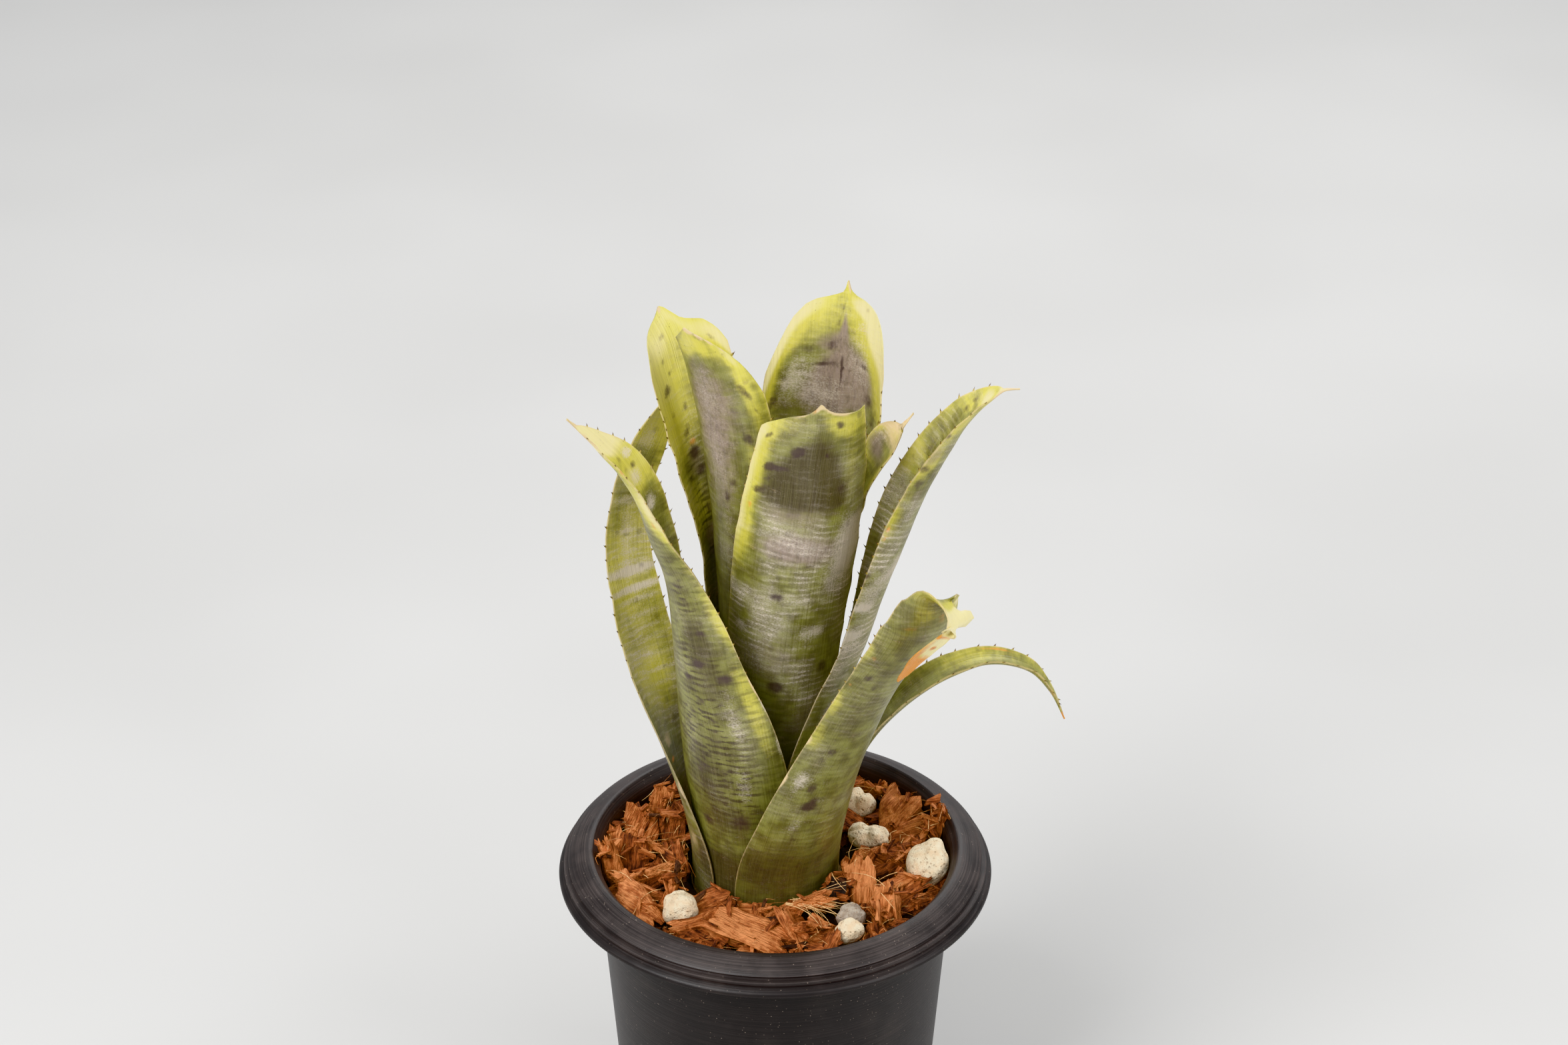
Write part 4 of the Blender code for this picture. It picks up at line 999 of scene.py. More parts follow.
FRONT_LEFT = Blade(
    "leaf_front_left", 226, 20.5, 25, 24, 4,
    ((-17.5, -18.5, 40, 26, 66, 226), (-20, -18.5, 59, 24, 64, 222), (-23, -18, 76, 20, 66, 216),
     (-25.5, -17, 92, 17, 68, 208), (-28.5, -16, 107, 14, 66, 196), (-32.5, -16, 120, 12.5, 62, 184),
     (-36, -16.5, 132, 11, 56, 176), (-40.5, -18, 142, 9, 50, 174), (-46, -20.5, 150, 6.5, 40, 176),
     (-54, -25, 161, 3.5, 30, 180)),
    {Tone.GOLD: ((-0.17, 0.93, 6, 6.7, 1.3), (-0.94, 0.986, 2.8, 3.9, 1.3), (-0.52, 0.887, 4.4, 4.6, 0.8),
        (-0.16, 0.827, 9.3, 5.6, 0.95), (1, 0.787, 5.4, 8, 1.1), (1, 0.581, 3.4, 7.5, 0.65),
        (0.85, 0.374, 2.7, 9.7, 0.6), (0.89, 0.443, 3.1, 9.1, 0.5)),
     Tone.PAPER: ((-0.85, 0.986, 1.4, 2.1, 0.8), (1, 0.953, 2.4, 2.3, 0.6), (1, 0.446, 0.6, 2.9, 0.6)),
     Tone.PALE_AND_HIGHLIGHT: ((-0.68, 0.863, 1.9, 1.7, 0.85), (-0.36, 0.823, 3.1, 2.6, 0.75),
        (-0.5, 0.767, 2.4, 2.8, 0.9), (1, 0.839, 2.6, 3.7, 0.45), (0.58, 0.384, 2.6, 7.4, 0.55),
        (0.49, 0.27, 2, 6.8, 0.45), (0.64, 0.436, 2.8, 2.7, 0.22), (1, 0.411, 0.6, 2.6, 0.75),
        (0.99, 0.333, 0.8, 4.2, 0.6)),
     Tone.BLOTCH: ((0.35, 0.499, 2.5, 1.5, 1.1), (0.07, 0.469, 2, 1.7, 0.9), (0.68, 0.471, 3.1, 2.1, 0.9),
        (0.56, 0.557, 1.9, 1.3, 0.85), (0.61, 0.576, 1.7, 1.1, 0.6), (0.2, 0.426, 1.9, 1.3, 0.8),
        (0.83, 0.591, 1.7, 1.3, 0.6), (-0.56, 0.841, 1.3, 1.2, 0.8), (-0.22, 0.87, 1.3, 1.2, 0.6),
        (-0.12, 0.849, 1.6, 1.2, 0.5), (0.46, 0.616, 2.2, 1.3, 0.7), (0.44, 0.644, 2.1, 1.3, 0.7),
        (0.31, 0.39, 2.9, 1.3, 0.6), (0.03, 0.294, 2.8, 1.4, 0.7), (0.3, 0.291, 2.5, 1.4, 0.6),
        (-0.06, 0.177, 2.8, 2.6, 0.8), (0.4, 0.193, 3.3, 4, 0.8), (0.18, 0.229, 2.1, 1.7, 0.6),
        (-0.09, 0.339, 1.9, 1.2, 0.6), (0.44, 0.336, 2, 0.9, 0.5)),
     Tone.BARS: ((0.15, 0.34, 11.2, 15.5, 1.3), (0.25, 0.251, 10, 11.8, 1.2), (0.3, 0.483, 7.1, 12.3, 1),
        (0.43, 0.617, 4.3, 7.9, 0.7)),
     Tone.DUSK: ((0.45, 0.257, 4.4, 10.2, 0.2),),
     Tone.DEEP: ((0.45, 0.486, 6.5, 16.9, 0.6), (0.14, 0.299, 10.5, 13.7, 0.45),
        (-0.01, 0.074, 10.8, 7.6, 0.8), (0.28, 0.189, 7.4, 6.6, 0.6), (0.56, 0.647, 3.4, 5.7, 0.4),
        (0.49, 0.546, 4.8, 7.9, 0.35), (-0.1, 0.244, 7.8, 14.2, 0.4)),
     Tone.RUST: ((0.81, 0.771, 0.8, 1.5, 0.5), (1, 0.883, 0.9, 1.2, 0.5)),
     Tone.SCURF: ((0.56, 0.374, 3.2, 9.3, 0.4),)},
    gilt=(0.72, 0.96, 0.6), edging=0.4, scurf=0.28, bars=0.5, across=41)

LEFT = Blade(
    "leaf_left", 180, 22, 17, 20, 2,
    ((-25, 2, 22, 15, 38, 172), (-28.5, 5, 37, 13.5, 34, 162), (-32, 10, 50, 12, 28, 150),
     (-36, 16, 63, 10.5, 24, 138), (-39, 20, 77, 9, 20, 130), (-41, 23, 89, 8, 18, 125),
     (-41, 25, 101, 7.5, 17, 125), (-39, 27, 113, 7, 16, 125), (-35, 29, 123, 6.5, 15, 125),
     (-30, 31, 134, 5.5, 15, 125), (-25.5, 32, 141, 4, 15, 125)),
    {Tone.PALE_AND_HIGHLIGHT: ((0.1, 0.624, 14, 1.7, 1.1), (0.1, 0.642, 12, 0.8, 0.4), (0.1, 0.589, 14, 1.2, 0.9),
        (0.1, 0.567, 12, 0.9, 0.45), (0.2, 0.766, 12, 1.8, 0.4), (0.07, 0.684, 2.3, 10.4, 0.35),
        (0.25, 0.89, 4.3, 4.7, 0.6), (-0.35, 0.696, 7.3, 21.5, 0.3), (0.03, 0.487, 9.9, 16.2, 0.28),
        (0.1, 0.536, 12, 0.8, 0.3), (-0.1, 0.426, 12, 0.7, 0.45), (-0.2, 0.401, 12, 0.7, 0.4),
        (0.1, 0.489, 12, 0.8, 0.3), (0.1, 0.51, 12, 0.6, 0.35), (0.2, 0.806, 12, 0.8, 0.35),
        (0.1, 0.66, 12, 0.6, 0.25), (0.1, 0.703, 12, 0.8, 0.25), (0.1, 0.458, 12, 0.7, 0.25)),
     Tone.GOLD: ((-0.35, 0.696, 7.3, 19.3, 0.4), (0.23, 0.493, 11.7, 15.1, 0.4),
        (0.07, 0.917, 6.5, 7.1, 0.8), (0.09, 0.397, 9.6, 10.6, 0.45), (0.53, 0.627, 6.3, 11.1, 0.4)),
     Tone.PAPER: ((0.24, 0.297, 2.8, 2.6, 0.7), (1, 0.223, 2.7, 2.4, 0.75), (0.66, 0.116, 3, 4.3, 0.5)),
     Tone.RUST: ((0.28, 0.26, 2, 0.8, 0.9),),
     Tone.DEEP: ((0.99, 0.091, 4.9, 7.2, 0.5),),
     Tone.BLOTCH: ((0.26, 0.513, 1.8, 0.8, 0.3), (0.24, 0.49, 1.6, 0.6, 0.3))},
    gilt=(0.1, 0.6, 0.22), edging=0.3, scurf=0.9, bars=0, spines=(0.4, 0.96), stations=300, across=25)


@dataclass
class Plant:
    """The rosette: ten leaves round one heart, on the stem that the CAD model carries."""
    blades: tuple[Blade, ...] = (FRONT, MID_LEFT, BACK_LEFT, BACK, HEART, RIGHT, FRONT_RIGHT, LOW_RIGHT,
                                 FRONT_LEFT, LEFT)
    leaf: LeafFinish = field(default_factory=LeafFinish)
    tooth: SpineFinish = field(default_factory=SpineFinish)

    def build(self, effects: Effects) -> None:
        """Make every leaf with its teeth.

        Args:
            effects: the shared effects.
        """
        blade_material, tooth_material = self.leaf.build(effects), self.tooth.build(effects)
        for blade in self.blades:
            blade.build(blade_material)
            blade.build_teeth(tooth_material)


# Pot

@dataclass(frozen=True)
class PotFinish:
    """Charcoal moulded plastic, matt and finely scratched round the rim, with pale dust; the rim is also
    painted lighter than the wall as painted light.
    """
    plastic: Colour = (0.012, 0.010, 0.010, 1)
    # light colour of the scratches, and also painted light: the lit rim is mixed towards it
    scuffed_and_lit: Colour = (0.100, 0.079, 0.074, 1)
    dust: Colour = (0.34, 0.27, 0.22, 1)

    def build(self, effects: Effects) -> bpy.types.Material:
        """Scratches run round the pot: a cloud read by distance from the axis and by height.

        Args:
            effects: the shared effects.

        Returns:
            The material.
        """
        material, g, shader = new_material("pot_plastic")
        place = g.place()
        height = g.part(place, 2)
        level = g.scaled(place, (1.0, 1.0, 0.0))
        radius = g.node("ShaderNodeVectorMath", {0: level}, operation="LENGTH").outputs["Value"]
        turned = g.node("ShaderNodeCombineXYZ", {0: radius, 1: height, 2: 0.0}).outputs[0]
        turned = g.scaled(turned, (3.2, 1.6, 0.0))
        wander = g.scaled(place, (0.016, 0.016, 0.0))
        rings = g.node("ShaderNodeVectorMath", {0: turned, 1: wander}, operation="ADD").outputs[0]
        scratch = g.smooth(g.noise(rings, 1.0, 3.0, 0.65), 0.44, 0.62)
        grain = g.effect(effects.grain, {"Vector": place, "Size": 0.12})
        # painted light, partly real wear: from 0.15 on the wall to 0.75 over the rim's top, for a lit rim
        # against a shaded wall
        rubbed_and_lit = g.smooth(height, POT_TOP - 9.5, POT_TOP - 4.0, 0.15, 0.75)
        rubbed_and_lit = g.times(rubbed_and_lit, g.smooth(grain.outputs["Mottle"], 0.1, 0.9, 0.6, 1.0))
        worn_and_lit = g.times(g.plus(g.times(scratch, 0.6), 0.4), rubbed_and_lit)
        body = g.mix(worn_and_lit, self.plastic, self.scuffed_and_lit)
        body = effects.specked(g, place, body, (0.8, 0.16, 0.47), self.dust, 0.6)
        film = g.smooth(g.noise(place, 0.06, 3.0, 0.6), 0.5, 0.8, 0.0, 0.035)
        relief = g.plus(scratch, g.times(grain.outputs["Tooth"], 0.5))
        g.finish(shader, g.mix(film, body, self.dust), g.smooth(worn_and_lit, 0.0, 1.0, 0.42, 0.66),
                 g.bump(relief, 0.035, 0.6))
        return material


# The rim's outside from its lower edge up over the crown to the mouth: radius and depth under the top.
RIM = (
    (64.5, 9.0), (64.95, 8.6), (65, 8.1), (64.85, 7.6), (64.3, 7.1), (63.6, 6.85), (63.2, 6.6), (63.1, 6.25),
    (63.3, 5.7), (63.42, 5.2), (63.3, 4.8), (62.8, 4.52), (62.2, 4.45), (61.85, 4.3), (61.75, 4.0),
    (61.95, 3.65), (62.05, 3.35), (61.85, 3.05), (61.2, 2.62), (60, 1.9), (58, 0.78), (56.6, 0.18),
    (55.6, 0.02), (55.0, 0.05), (54.6, 0.3), (54.4, 0.7), (53.6, 1.6), (52.9, 2.5), (52.5, 4.2),
)


@dataclass
class Pot:
    """Round nursery pot with a broad sloping rim, two ridges and a lip."""
    base: float = 45.5
    neck: float = 53.4
    rim_depth: float = 9.2
    wall: float = 1.2
    floor: float = 2.0
    segments: int = 256
    drains: int = 6
    drain: float = 4.0
    drain_ring: float = 31.0
    finish: PotFinish = field(default_factory=PotFinish)

    def wall_radius(self, height: float) -> float:
        """Outer radius below the rim."""
        return self.base + (self.neck - self.base) * height / (POT_TOP - self.rim_depth)

    def inner_radius(self, height: np.ndarray) -> np.ndarray:
        """Radius of the inside at each height: the tapered wall, then the mouth that opens to the rim.

        Args:
            height: any heights, in mm.

        Returns:
            The radius at each.
        """
        levels = np.array([self.floor, POT_TOP - self.rim_depth, POT_TOP - 2.5, POT_TOP])
        outer = [self.wall_radius(self.floor), self.neck, 52.9 + self.wall, 54.5 + self.wall]
        return np.interp(height, levels, np.array(outer) - self.wall)

    def profile(self) -> np.ndarray:
        """Section from the middle of the underside, up the outside, over the rim and down the inside.

        Returns:
            Radius and height of each point.
        """
        under = POT_TOP - self.rim_depth
        outside = [(0, 0), (20, 0), (40, 0), (44, 0), (44.9, 0.25), (45.4, 0.9), (45.55, 1.7)]
        outside += [(self.wall_radius(height), height) for height in np.linspace(6, under - 1.0, 12)]
        outside += [(53.4, under - 0.3), (53.7, under - 0.05), (54.4, under), (58, under), (63.7, under)]
        rim = [(radius, POT_TOP - drop) for radius, drop in RIM] + [(52.2, under)]
        inside = [(self.wall_radius(height) - self.wall, height) for height in np.linspace(under - 4, 5, 10)]
        inside += [(44.2, 3.4), (43.7, 2.5), (42.6, 2.05)]
        return np.array(outside + rim + inside + [(radius, self.floor) for radius in (41.5, 20, 0)])

    def build(self, effects: Effects) -> None:
        """Turn the profile about the pot's axis, then cut the drain holes through the floor.

        Args:
            effects: the shared effects.
        """
        section = self.profile()
        angle = np.arange(self.segments) * 2 * np.pi / self.segments
        ring = np.stack([np.cos(angle), np.sin(angle), np.ones_like(angle)], axis=-1)
        body = section[1:-1, None, [0, 0, 1]] * ring
        points = np.vstack([[[0, 0, section[0, 1]]], body.reshape(-1, 3), [[0, 0, section[-1, 1]]]])
        faces = sealed_faces(len(section) - 2, self.segments)
        piece = make_piece("nursery_pot", points, faces, self.finish.build(effects), crease=35)
        sides = 32
        turns = np.arange(sides) * 2 * np.pi / sides
        tube = np.stack([self.drain * np.cos(turns), self.drain * np.sin(turns), 0 * turns], axis=-1)
        bore = np.vstack([[[0, 0, -2]], tube + [0, 0, -2], tube + [0, 0, 5], [[0, 0, 5]]])
        around = (np.arange(self.drains) + 0.5) * 2 * np.pi / self.drains
        centres = self.drain_ring * np.stack([np.cos(around), np.sin(around), 0 * around], axis=-1)
        bores = bpy.data.meshes.new("bores")
        bores.from_pydata(((bore + centres[:, None]).reshape(-1, 3) * MM).tolist(), [],
                          repeated(sealed_faces(2, sides), len(bore), self.drains))
        cutter = bpy.data.objects.new("bores", bores)
        bpy.context.scene.collection.objects.link(cutter)
        cut = piece.modifiers.new("drains", "BOOLEAN")
        cut.object, cut.operation, cut.solver = cutter, "DIFFERENCE", "EXACT"
        pierced = bpy.data.meshes.new_from_object(piece.evaluated_get(bpy.context.evaluated_depsgraph_get()))
        piece.modifiers.clear()
        piece.data = pierced
        bpy.data.objects.remove(cutter)
        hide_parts("pot")


# Pebbles

@dataclass(frozen=True)
class StoneFinish:
    """Pumice: chalky, mottled and pitted."""
    name: str
    pale: Colour
    shade: Colour
    stain: Colour = (0.36, 0.22, 0.12, 1)

    def build(self, effects: Effects) -> bpy.types.Material:
        """Cloudy colour, brown dirt in patches, and pits from two sizes of cell.

        Args:
            effects: the shared effects.

        Returns:
            The material.
        """
        material, g, shader = new_material(self.name)
        place = g.place()
        grain = g.effect(effects.grain, {"Vector": place, "Size": 0.5})
        pits = g.smooth(g.cells(place, 0.75), 0.10, 0.34)
        pores = g.smooth(g.cells(place, 2.2), 0.12, 0.40)
        body = g.mix(grain.outputs["Mottle"], self.pale, self.shade)
        body = effects.specked(g, place, body, (1.3, 0.26, 0.44), self.stain, 0.7)
        body = g.stain(body, g.noise(place, 0.22, 3.0), (0.54, 0.78), self.stain, 0.35)
        body = g.mix(g.smooth(pits, 0.0, 1.0, 0.4, 0.0), body, self.stain)
        relief = g.plus(g.times(pits, 0.6), g.plus(g.times(pores, 0.3), grain.outputs["Tooth"]))
        g.finish(shader, body, g.smooth(grain.outputs["Tooth"], 0.2, 0.8, 0.75, 0.95),
                 g.bump(relief, 0.45, 0.9))
        return material


@dataclass(frozen=True)
class Stone:
    """A pebble by its centre, full size and turn about Z; z is measured from the pot's top.

    waist is how deep it is drawn in round its middle, and lean how far it goes to its own +X
    per mm of height.
    """
    x: float
    y: float
    z: float
    size: tuple[float, float, float]
    turn: float
    seed: int
    waist: float = 0.0
    lean: float = 0.0

    def frame(self) -> tuple[np.ndarray, np.ndarray]:
        """Where it lies and how it is turned.

        Returns:
            Its centre, and its axes as rows.
        """
        turn = math.radians(self.turn)
        axes = np.array([[math.cos(turn), math.sin(turn), 0],
                         [-math.sin(turn), math.cos(turn), 0],
                         [0, 0, 1]])
        return np.array([self.x, self.y, POT_TOP + self.z]), axes

    def build(self, index: int, material: bpy.types.Material) -> None:
        """Sphere whose radius swells by sine waves along random directions, then by finer roughness.

        A stone with a waist is drawn in round the middle of its length, so that it has two lobes.

        Args:
            index: its number in the pieces' names.
            material: its finish.
        """
        rows, columns = 46, 72
        pole = np.linspace(0, np.pi, rows + 2)[1:-1]
        turn = np.arange(columns) * 2 * np.pi / columns
        rings = np.stack([np.sin(pole)[:, None] * np.cos(turn), np.sin(pole)[:, None] * np.sin(turn),
                          np.cos(pole)[:, None] * np.ones(columns)], axis=-1)
        ball = np.vstack([[[0, 0, 1]], rings.reshape(-1, 3), [[0, 0, -1]]])
        draw = random.Random(self.seed)
        swell = np.ones(len(ball))
        for _ in range(4):
            way = Vector([draw.uniform(-1, 1) for _ in range(3)]).normalized()
            rate, phase = draw.uniform(3, 7), draw.uniform(0, 6)
            swell += 0.045 * np.sin(rate * (ball @ np.array(way)) + phase)
        swell += 0.028 * ripples(ball, self.seed + 40, 0.22, 0.8, 20)
        swell -= self.waist * np.exp(-(ball[:, 0] / 0.28) ** 2) * smoothstep(-0.4, 0.6, ball[:, 2])
        centre, axes = self.frame()
        points = self.upright(ball * swell[:, None] * np.array(self.size) / 2, -1) @ axes + centre
        piece = make_piece(f"pumice_{index}", points, sealed_faces(rows, columns), material, crease=80)
        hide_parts(f"pebble_{index}")

    def clear(self, points: np.ndarray, gap: float) -> np.ndarray:
        """Move points that lie inside the stone's ellipsoid out to its surface plus a gap.

        Args:
            points: any places.
            gap: how far off they have to stay.

        Returns:
            The points.
        """
        centre, axes = self.frame()
        reach = np.array(self.size) / 2 * 1.05 + gap
        local = self.upright((points - centre) @ axes.T) / reach
        distance = np.linalg.norm(local, axis=-1, keepdims=True)
        moved = self.upright((local / np.maximum(distance, 1e-6)) * reach, -1) @ axes + centre
        return np.where(distance < 1, moved, points)

    def upright(self, local: np.ndarray, way: int = 1) -> np.ndarray:
        """Take the lean out of points in the stone's own axes, or put it in with −1."""
        return local - way * self.lean * local[..., 2:] * np.array([1.0, 0, 0])

    def aside(self, flat: np.ndarray, gap: float) -> np.ndarray:
        """Move places in plan that lie over the stone out to its edge plus a gap.

        Args:
            flat: x and y of any places.
            gap: how far off they have to stay.

        Returns:
            The places.
        """
        offset = flat - np.array([self.x, self.y])
        distance = np.linalg.norm(offset, axis=-1, keepdims=True)
        reach = max(self.size[:2]) / 2 + gap
        edge = offset / np.maximum(distance, 1e-6) * reach + [self.x, self.y]
        return np.where(distance < reach, edge, flat)


STONES = (
    Stone(26.3, 30.6, -6.5, (9.5, 8, 10.5), -35, 1, 0.30),
    Stone(28.2, 13.8, -7, (12.8, 8.5, 8.5), -8, 2, 0.30),
    Stone(45.6, -4, -5, (12, 14, 14), 0, 3, 0.0, 0.22),
    Stone(-28, -25, -5.8, (10, 11, 11.5), 30, 4),
    Stone(22.5, -27.2, -7.2, (8.5, 7, 7.5), 0, 5),
    Stone(21.7, -35.5, -6.8, (8.5, 7, 7.5), 15, 6),
)


@dataclass
class Pebbles:
    """The six stones that lie among the husk."""
    stones: tuple[Stone, ...] = STONES
    # the pale stones' cream is warmed towards orange, partly as painted light: the warm cast of the light and
    # of light thrown back from the husk
    pale: StoneFinish = StoneFinish("pumice_pale", (1.0, 0.87, 0.64, 1), (0.92, 0.71, 0.47, 1))
    grey: StoneFinish = StoneFinish("pumice_grey", (0.50, 0.43, 0.35, 1), (0.34, 0.27, 0.21, 1))

    def build(self, effects: Effects) -> None:
        """Make them all; the fifth is the grey one.

        Args:
            effects: the shared effects.
        """
        pale, grey = self.pale.build(effects), self.grey.build(effects)
        for index, stone in enumerate(self.stones, 1):
            stone.build(index, grey if index == 5 else pale)


# Husk

@dataclass(frozen=True)
class HuskFinish:
    """Torn coconut husk: orange-brown fibre bundles, darkened low down as painted shade between the chips."""
    name: str
    bright: Colour = (0.86, 0.340, 0.135, 1)
    middle: Colour = (0.44, 0.130, 0.045, 1)
    dark: Colour = (0.080, 0.020, 0.009, 1)
    char: Colour = (0.024, 0.020, 0.018, 1)
    depth: float = 0.7

    def build(self, effects: Effects) -> bpy.types.Material:
        """Streaks along each chip's own fibres, with a tone of its own for each chip, darker low down as
        painted shade.

        Args:
            effects: the shared effects.

        Returns:
            The material.
        """
        material, g, shader = new_material(self.name)
        fibre = g.vector("fibre")
        bundle = g.effect(effects.streaks, {"Vector": fibre, "Across": 0.55, "Along": 0.10})
        thread = g.effect(effects.streaks, {"Vector": fibre, "Across": 1.9, "Along": 0.16})
        grain = g.effect(effects.grain, {"Vector": fibre, "Size": 0.42})
        level = g.plus(g.times(bundle.outputs["Coarse"], 0.22), g.times(thread.outputs["Coarse"], 0.30))
        level = g.plus(level, g.times(g.value("tone"), 0.62))
        level = g.minus(level, g.times(grain.outputs["Mottle"], 0.30))
        # painted shade: the lower in the pot, the darker, standing in for the shadow deep among the chips
        level = g.minus(level, g.smooth(g.part(g.place(), 2), 102.5, 109.0, 0.34, 0.0))
        ramp = g.node("ShaderNodeValToRGB", {0: level})
        low, high = ramp.color_ramp.elements
        low.position, low.color = 0.06, self.dark
        high.position, high.color = 0.80, self.bright
        ramp.color_ramp.elements.new(0.42).color = self.middle
        threads = g.plus(g.times(thread.outputs["Coarse"], 0.55), g.times(thread.outputs["Fine"], 0.40))
        relief = g.plus(g.times(bundle.outputs["Fine"], 0.35), threads)
        g.finish(shader, g.mix(g.value("char"), ramp.outputs[0], self.char),
                 g.smooth(grain.outputs["Tooth"], 0.2, 0.8, 0.70, 0.92), g.bump(relief, self.depth))
        return material


@dataclass(frozen=True)
class StrandFinish:
    """Loose straw-coloured fibre."""
    straw: Colour = (0.90, 0.60, 0.30, 1)
    brown: Colour = (0.46, 0.17, 0.055, 1)

    def build(self, effects: Effects) -> bpy.types.Material:
        """Fine mottling over a tone that each strand has of its own.

        Args:
            effects: the shared effects.

        Returns:
            The material.
        """
        material, g, shader = new_material("husk_strand")
        grain = g.effect(effects.grain, {"Vector": g.place(), "Size": 0.9})
        level = g.plus(g.value("tone"), g.times(g.minus(grain.outputs["Mottle"], 0.5), 0.5))
        g.finish(shader, g.mix(g.smooth(level, 0.2, 0.9), self.brown, self.straw),
                 g.smooth(grain.outputs["Tooth"], 0.2, 0.8, 0.55, 0.8))
        return material


def turned_axes(turn: np.ndarray, tilt: np.ndarray, roll: np.ndarray) -> np.ndarray:
    """Rotations as matrices whose rows are the new axes: roll about the length, tilt of it, turn about Z.

    Args:
        turn: angles about Z, in radians.
        tilt: how far the length is raised.
        roll: angles about the length.

    Returns:
        One matrix for each set of angles.
    """
    along = np.stack([np.cos(turn) * np.cos(tilt), np.sin(turn) * np.cos(tilt), np.sin(tilt)], axis=-1)
    level = np.stack([-np.sin(turn), np.cos(turn), 0 * turn], axis=-1)
    across = np.cos(roll)[:, None] * level + np.sin(roll)[:, None] * np.cross(along, level)
    return np.stack([along, across, np.cross(along, across)], axis=1)


# Slabs of husk that show in the photograph, then some behind the leaves. A row is the middle's x,
# y and z, the length, width and depth, turn, tilt and roll, then tone and char (0 to 1).
SLABS = (
    (-48.2, -3, 107.5, 17, 6.5, 4, 105, 74, 10, 0.9, 0),
    (-38.5, -5.5, 106.8, 18, 6.5, 4.5, 12, 6, -30, 0.9, 0),
    (-42.5, 1.5, 108, 13, 9.5, 2.5, 80, 58, 0, 0.35, 0), (-34, 4, 109.5, 15, 2.6, 2, -20, -24, 0, 0.9, 0),
    (-42, 16, 108, 13, 10, 6.5, 60, 35, 20, 0.62, 0), (-35.5, 26, 109.5, 13, 7, 4.5, 75, 66, 0, 0.68, 0),
    (-30.5, 13.5, 107.5, 13, 7, 5, 85, 30, 30, 0.38, 0), (-30, 2, 106.8, 12, 7, 5, 100, 20, -30, 0.3, 0),
    (-40.3, -21.5, 106.6, 17, 10.5, 6, -38, -8, 12, 0.74, 0),
    (-31, -14.5, 107.8, 11, 3.4, 3, 62, 40, 0, 0.75, 0),
    (-20.5, -19.5, 106.4, 13, 9, 5.5, 18, 10, 20, 0.55, 0),
    (-19, -27.5, 105.8, 16, 11, 5.5, 14, 8, 24, 0.22, 0),
    (-7, -34.6, 106.6, 22, 12.5, 7, -24, -12, 8, 1, 0), (7, -21.8, 107.4, 17, 6.5, 4.5, 16, 16, -28, 1, 0),
    (-8, -22.2, 106, 11, 6, 4, -15, 10, 20, 0.75, 0), (1.5, -27, 105.8, 12, 8, 5, 35, -12, 20, 0.8, 0),
    (17.5, -17.2, 107.4, 9.5, 7.5, 5, 70, 52, 0, 0.2, 0.95),
    (25.6, -14.5, 107.8, 18, 10, 4.6, 84, 52, -8, 0.98, 0),
    (21, -12.5, 108.6, 14, 3.2, 3, 70, 58, 0, 0.55, 0), (33, -23, 106.2, 14, 9.5, 4.5, 80, 44, -6, 0.98, 0),
    (36.5, -10.5, 107.4, 14, 4.2, 3.4, 30, 14, 20, 0.95, 0),
    (37, 23.5, 107.6, 14, 11, 7.5, 50, 18, 15, 0.78, 0),
    (48.8, 14.5, 111, 13, 4.2, 2.6, 60, 70, 20, 0.35, 0), (44.5, 11.5, 109, 12, 2.4, 2, 38, 30, 0, 0.85, 0),
    (37.5, 5.5, 106.4, 13, 10, 5.5, -20, 10, 20, 0.3, 0),
    (39.5, -17.5, 105.4, 11, 7.5, 4.5, 35, 8, 30, 0.42, 0),
    (21, 39.5, 107.2, 13, 7, 5, 20, 12, -20, 0.45, 0), (11.5, -38.5, 105.2, 13, 6.5, 4, 20, 8, 20, 0.72, 0),
    (-23, -39, 105, 15, 5.5, 3.6, -25, 4, 20, 0.8, 0), (28, -35.5, 105, 11, 6, 4, 50, 12, -20, 0.55, 0),
    (6, 43.5, 107.2, 16, 8, 5, -15, 10, 15, 0.6, 0), (-10, 42.5, 107.6, 15, 9, 5, 40, -18, 20, 0.7, 0),
    (-24, 37.5, 107, 17, 7.5, 4.5, 130, 12, -20, 0.55, 0), (-48.5, 9, 107, 12, 6, 4.5, 80, 30, 20, 0.6, 0),
    (31, 39, 107.4, 12, 5, 4, -60, 42, 0, 0.7, 0), (-12, 33.5, 106, 12, 7, 4.5, 10, -14, 30, 0.45, 0),
)


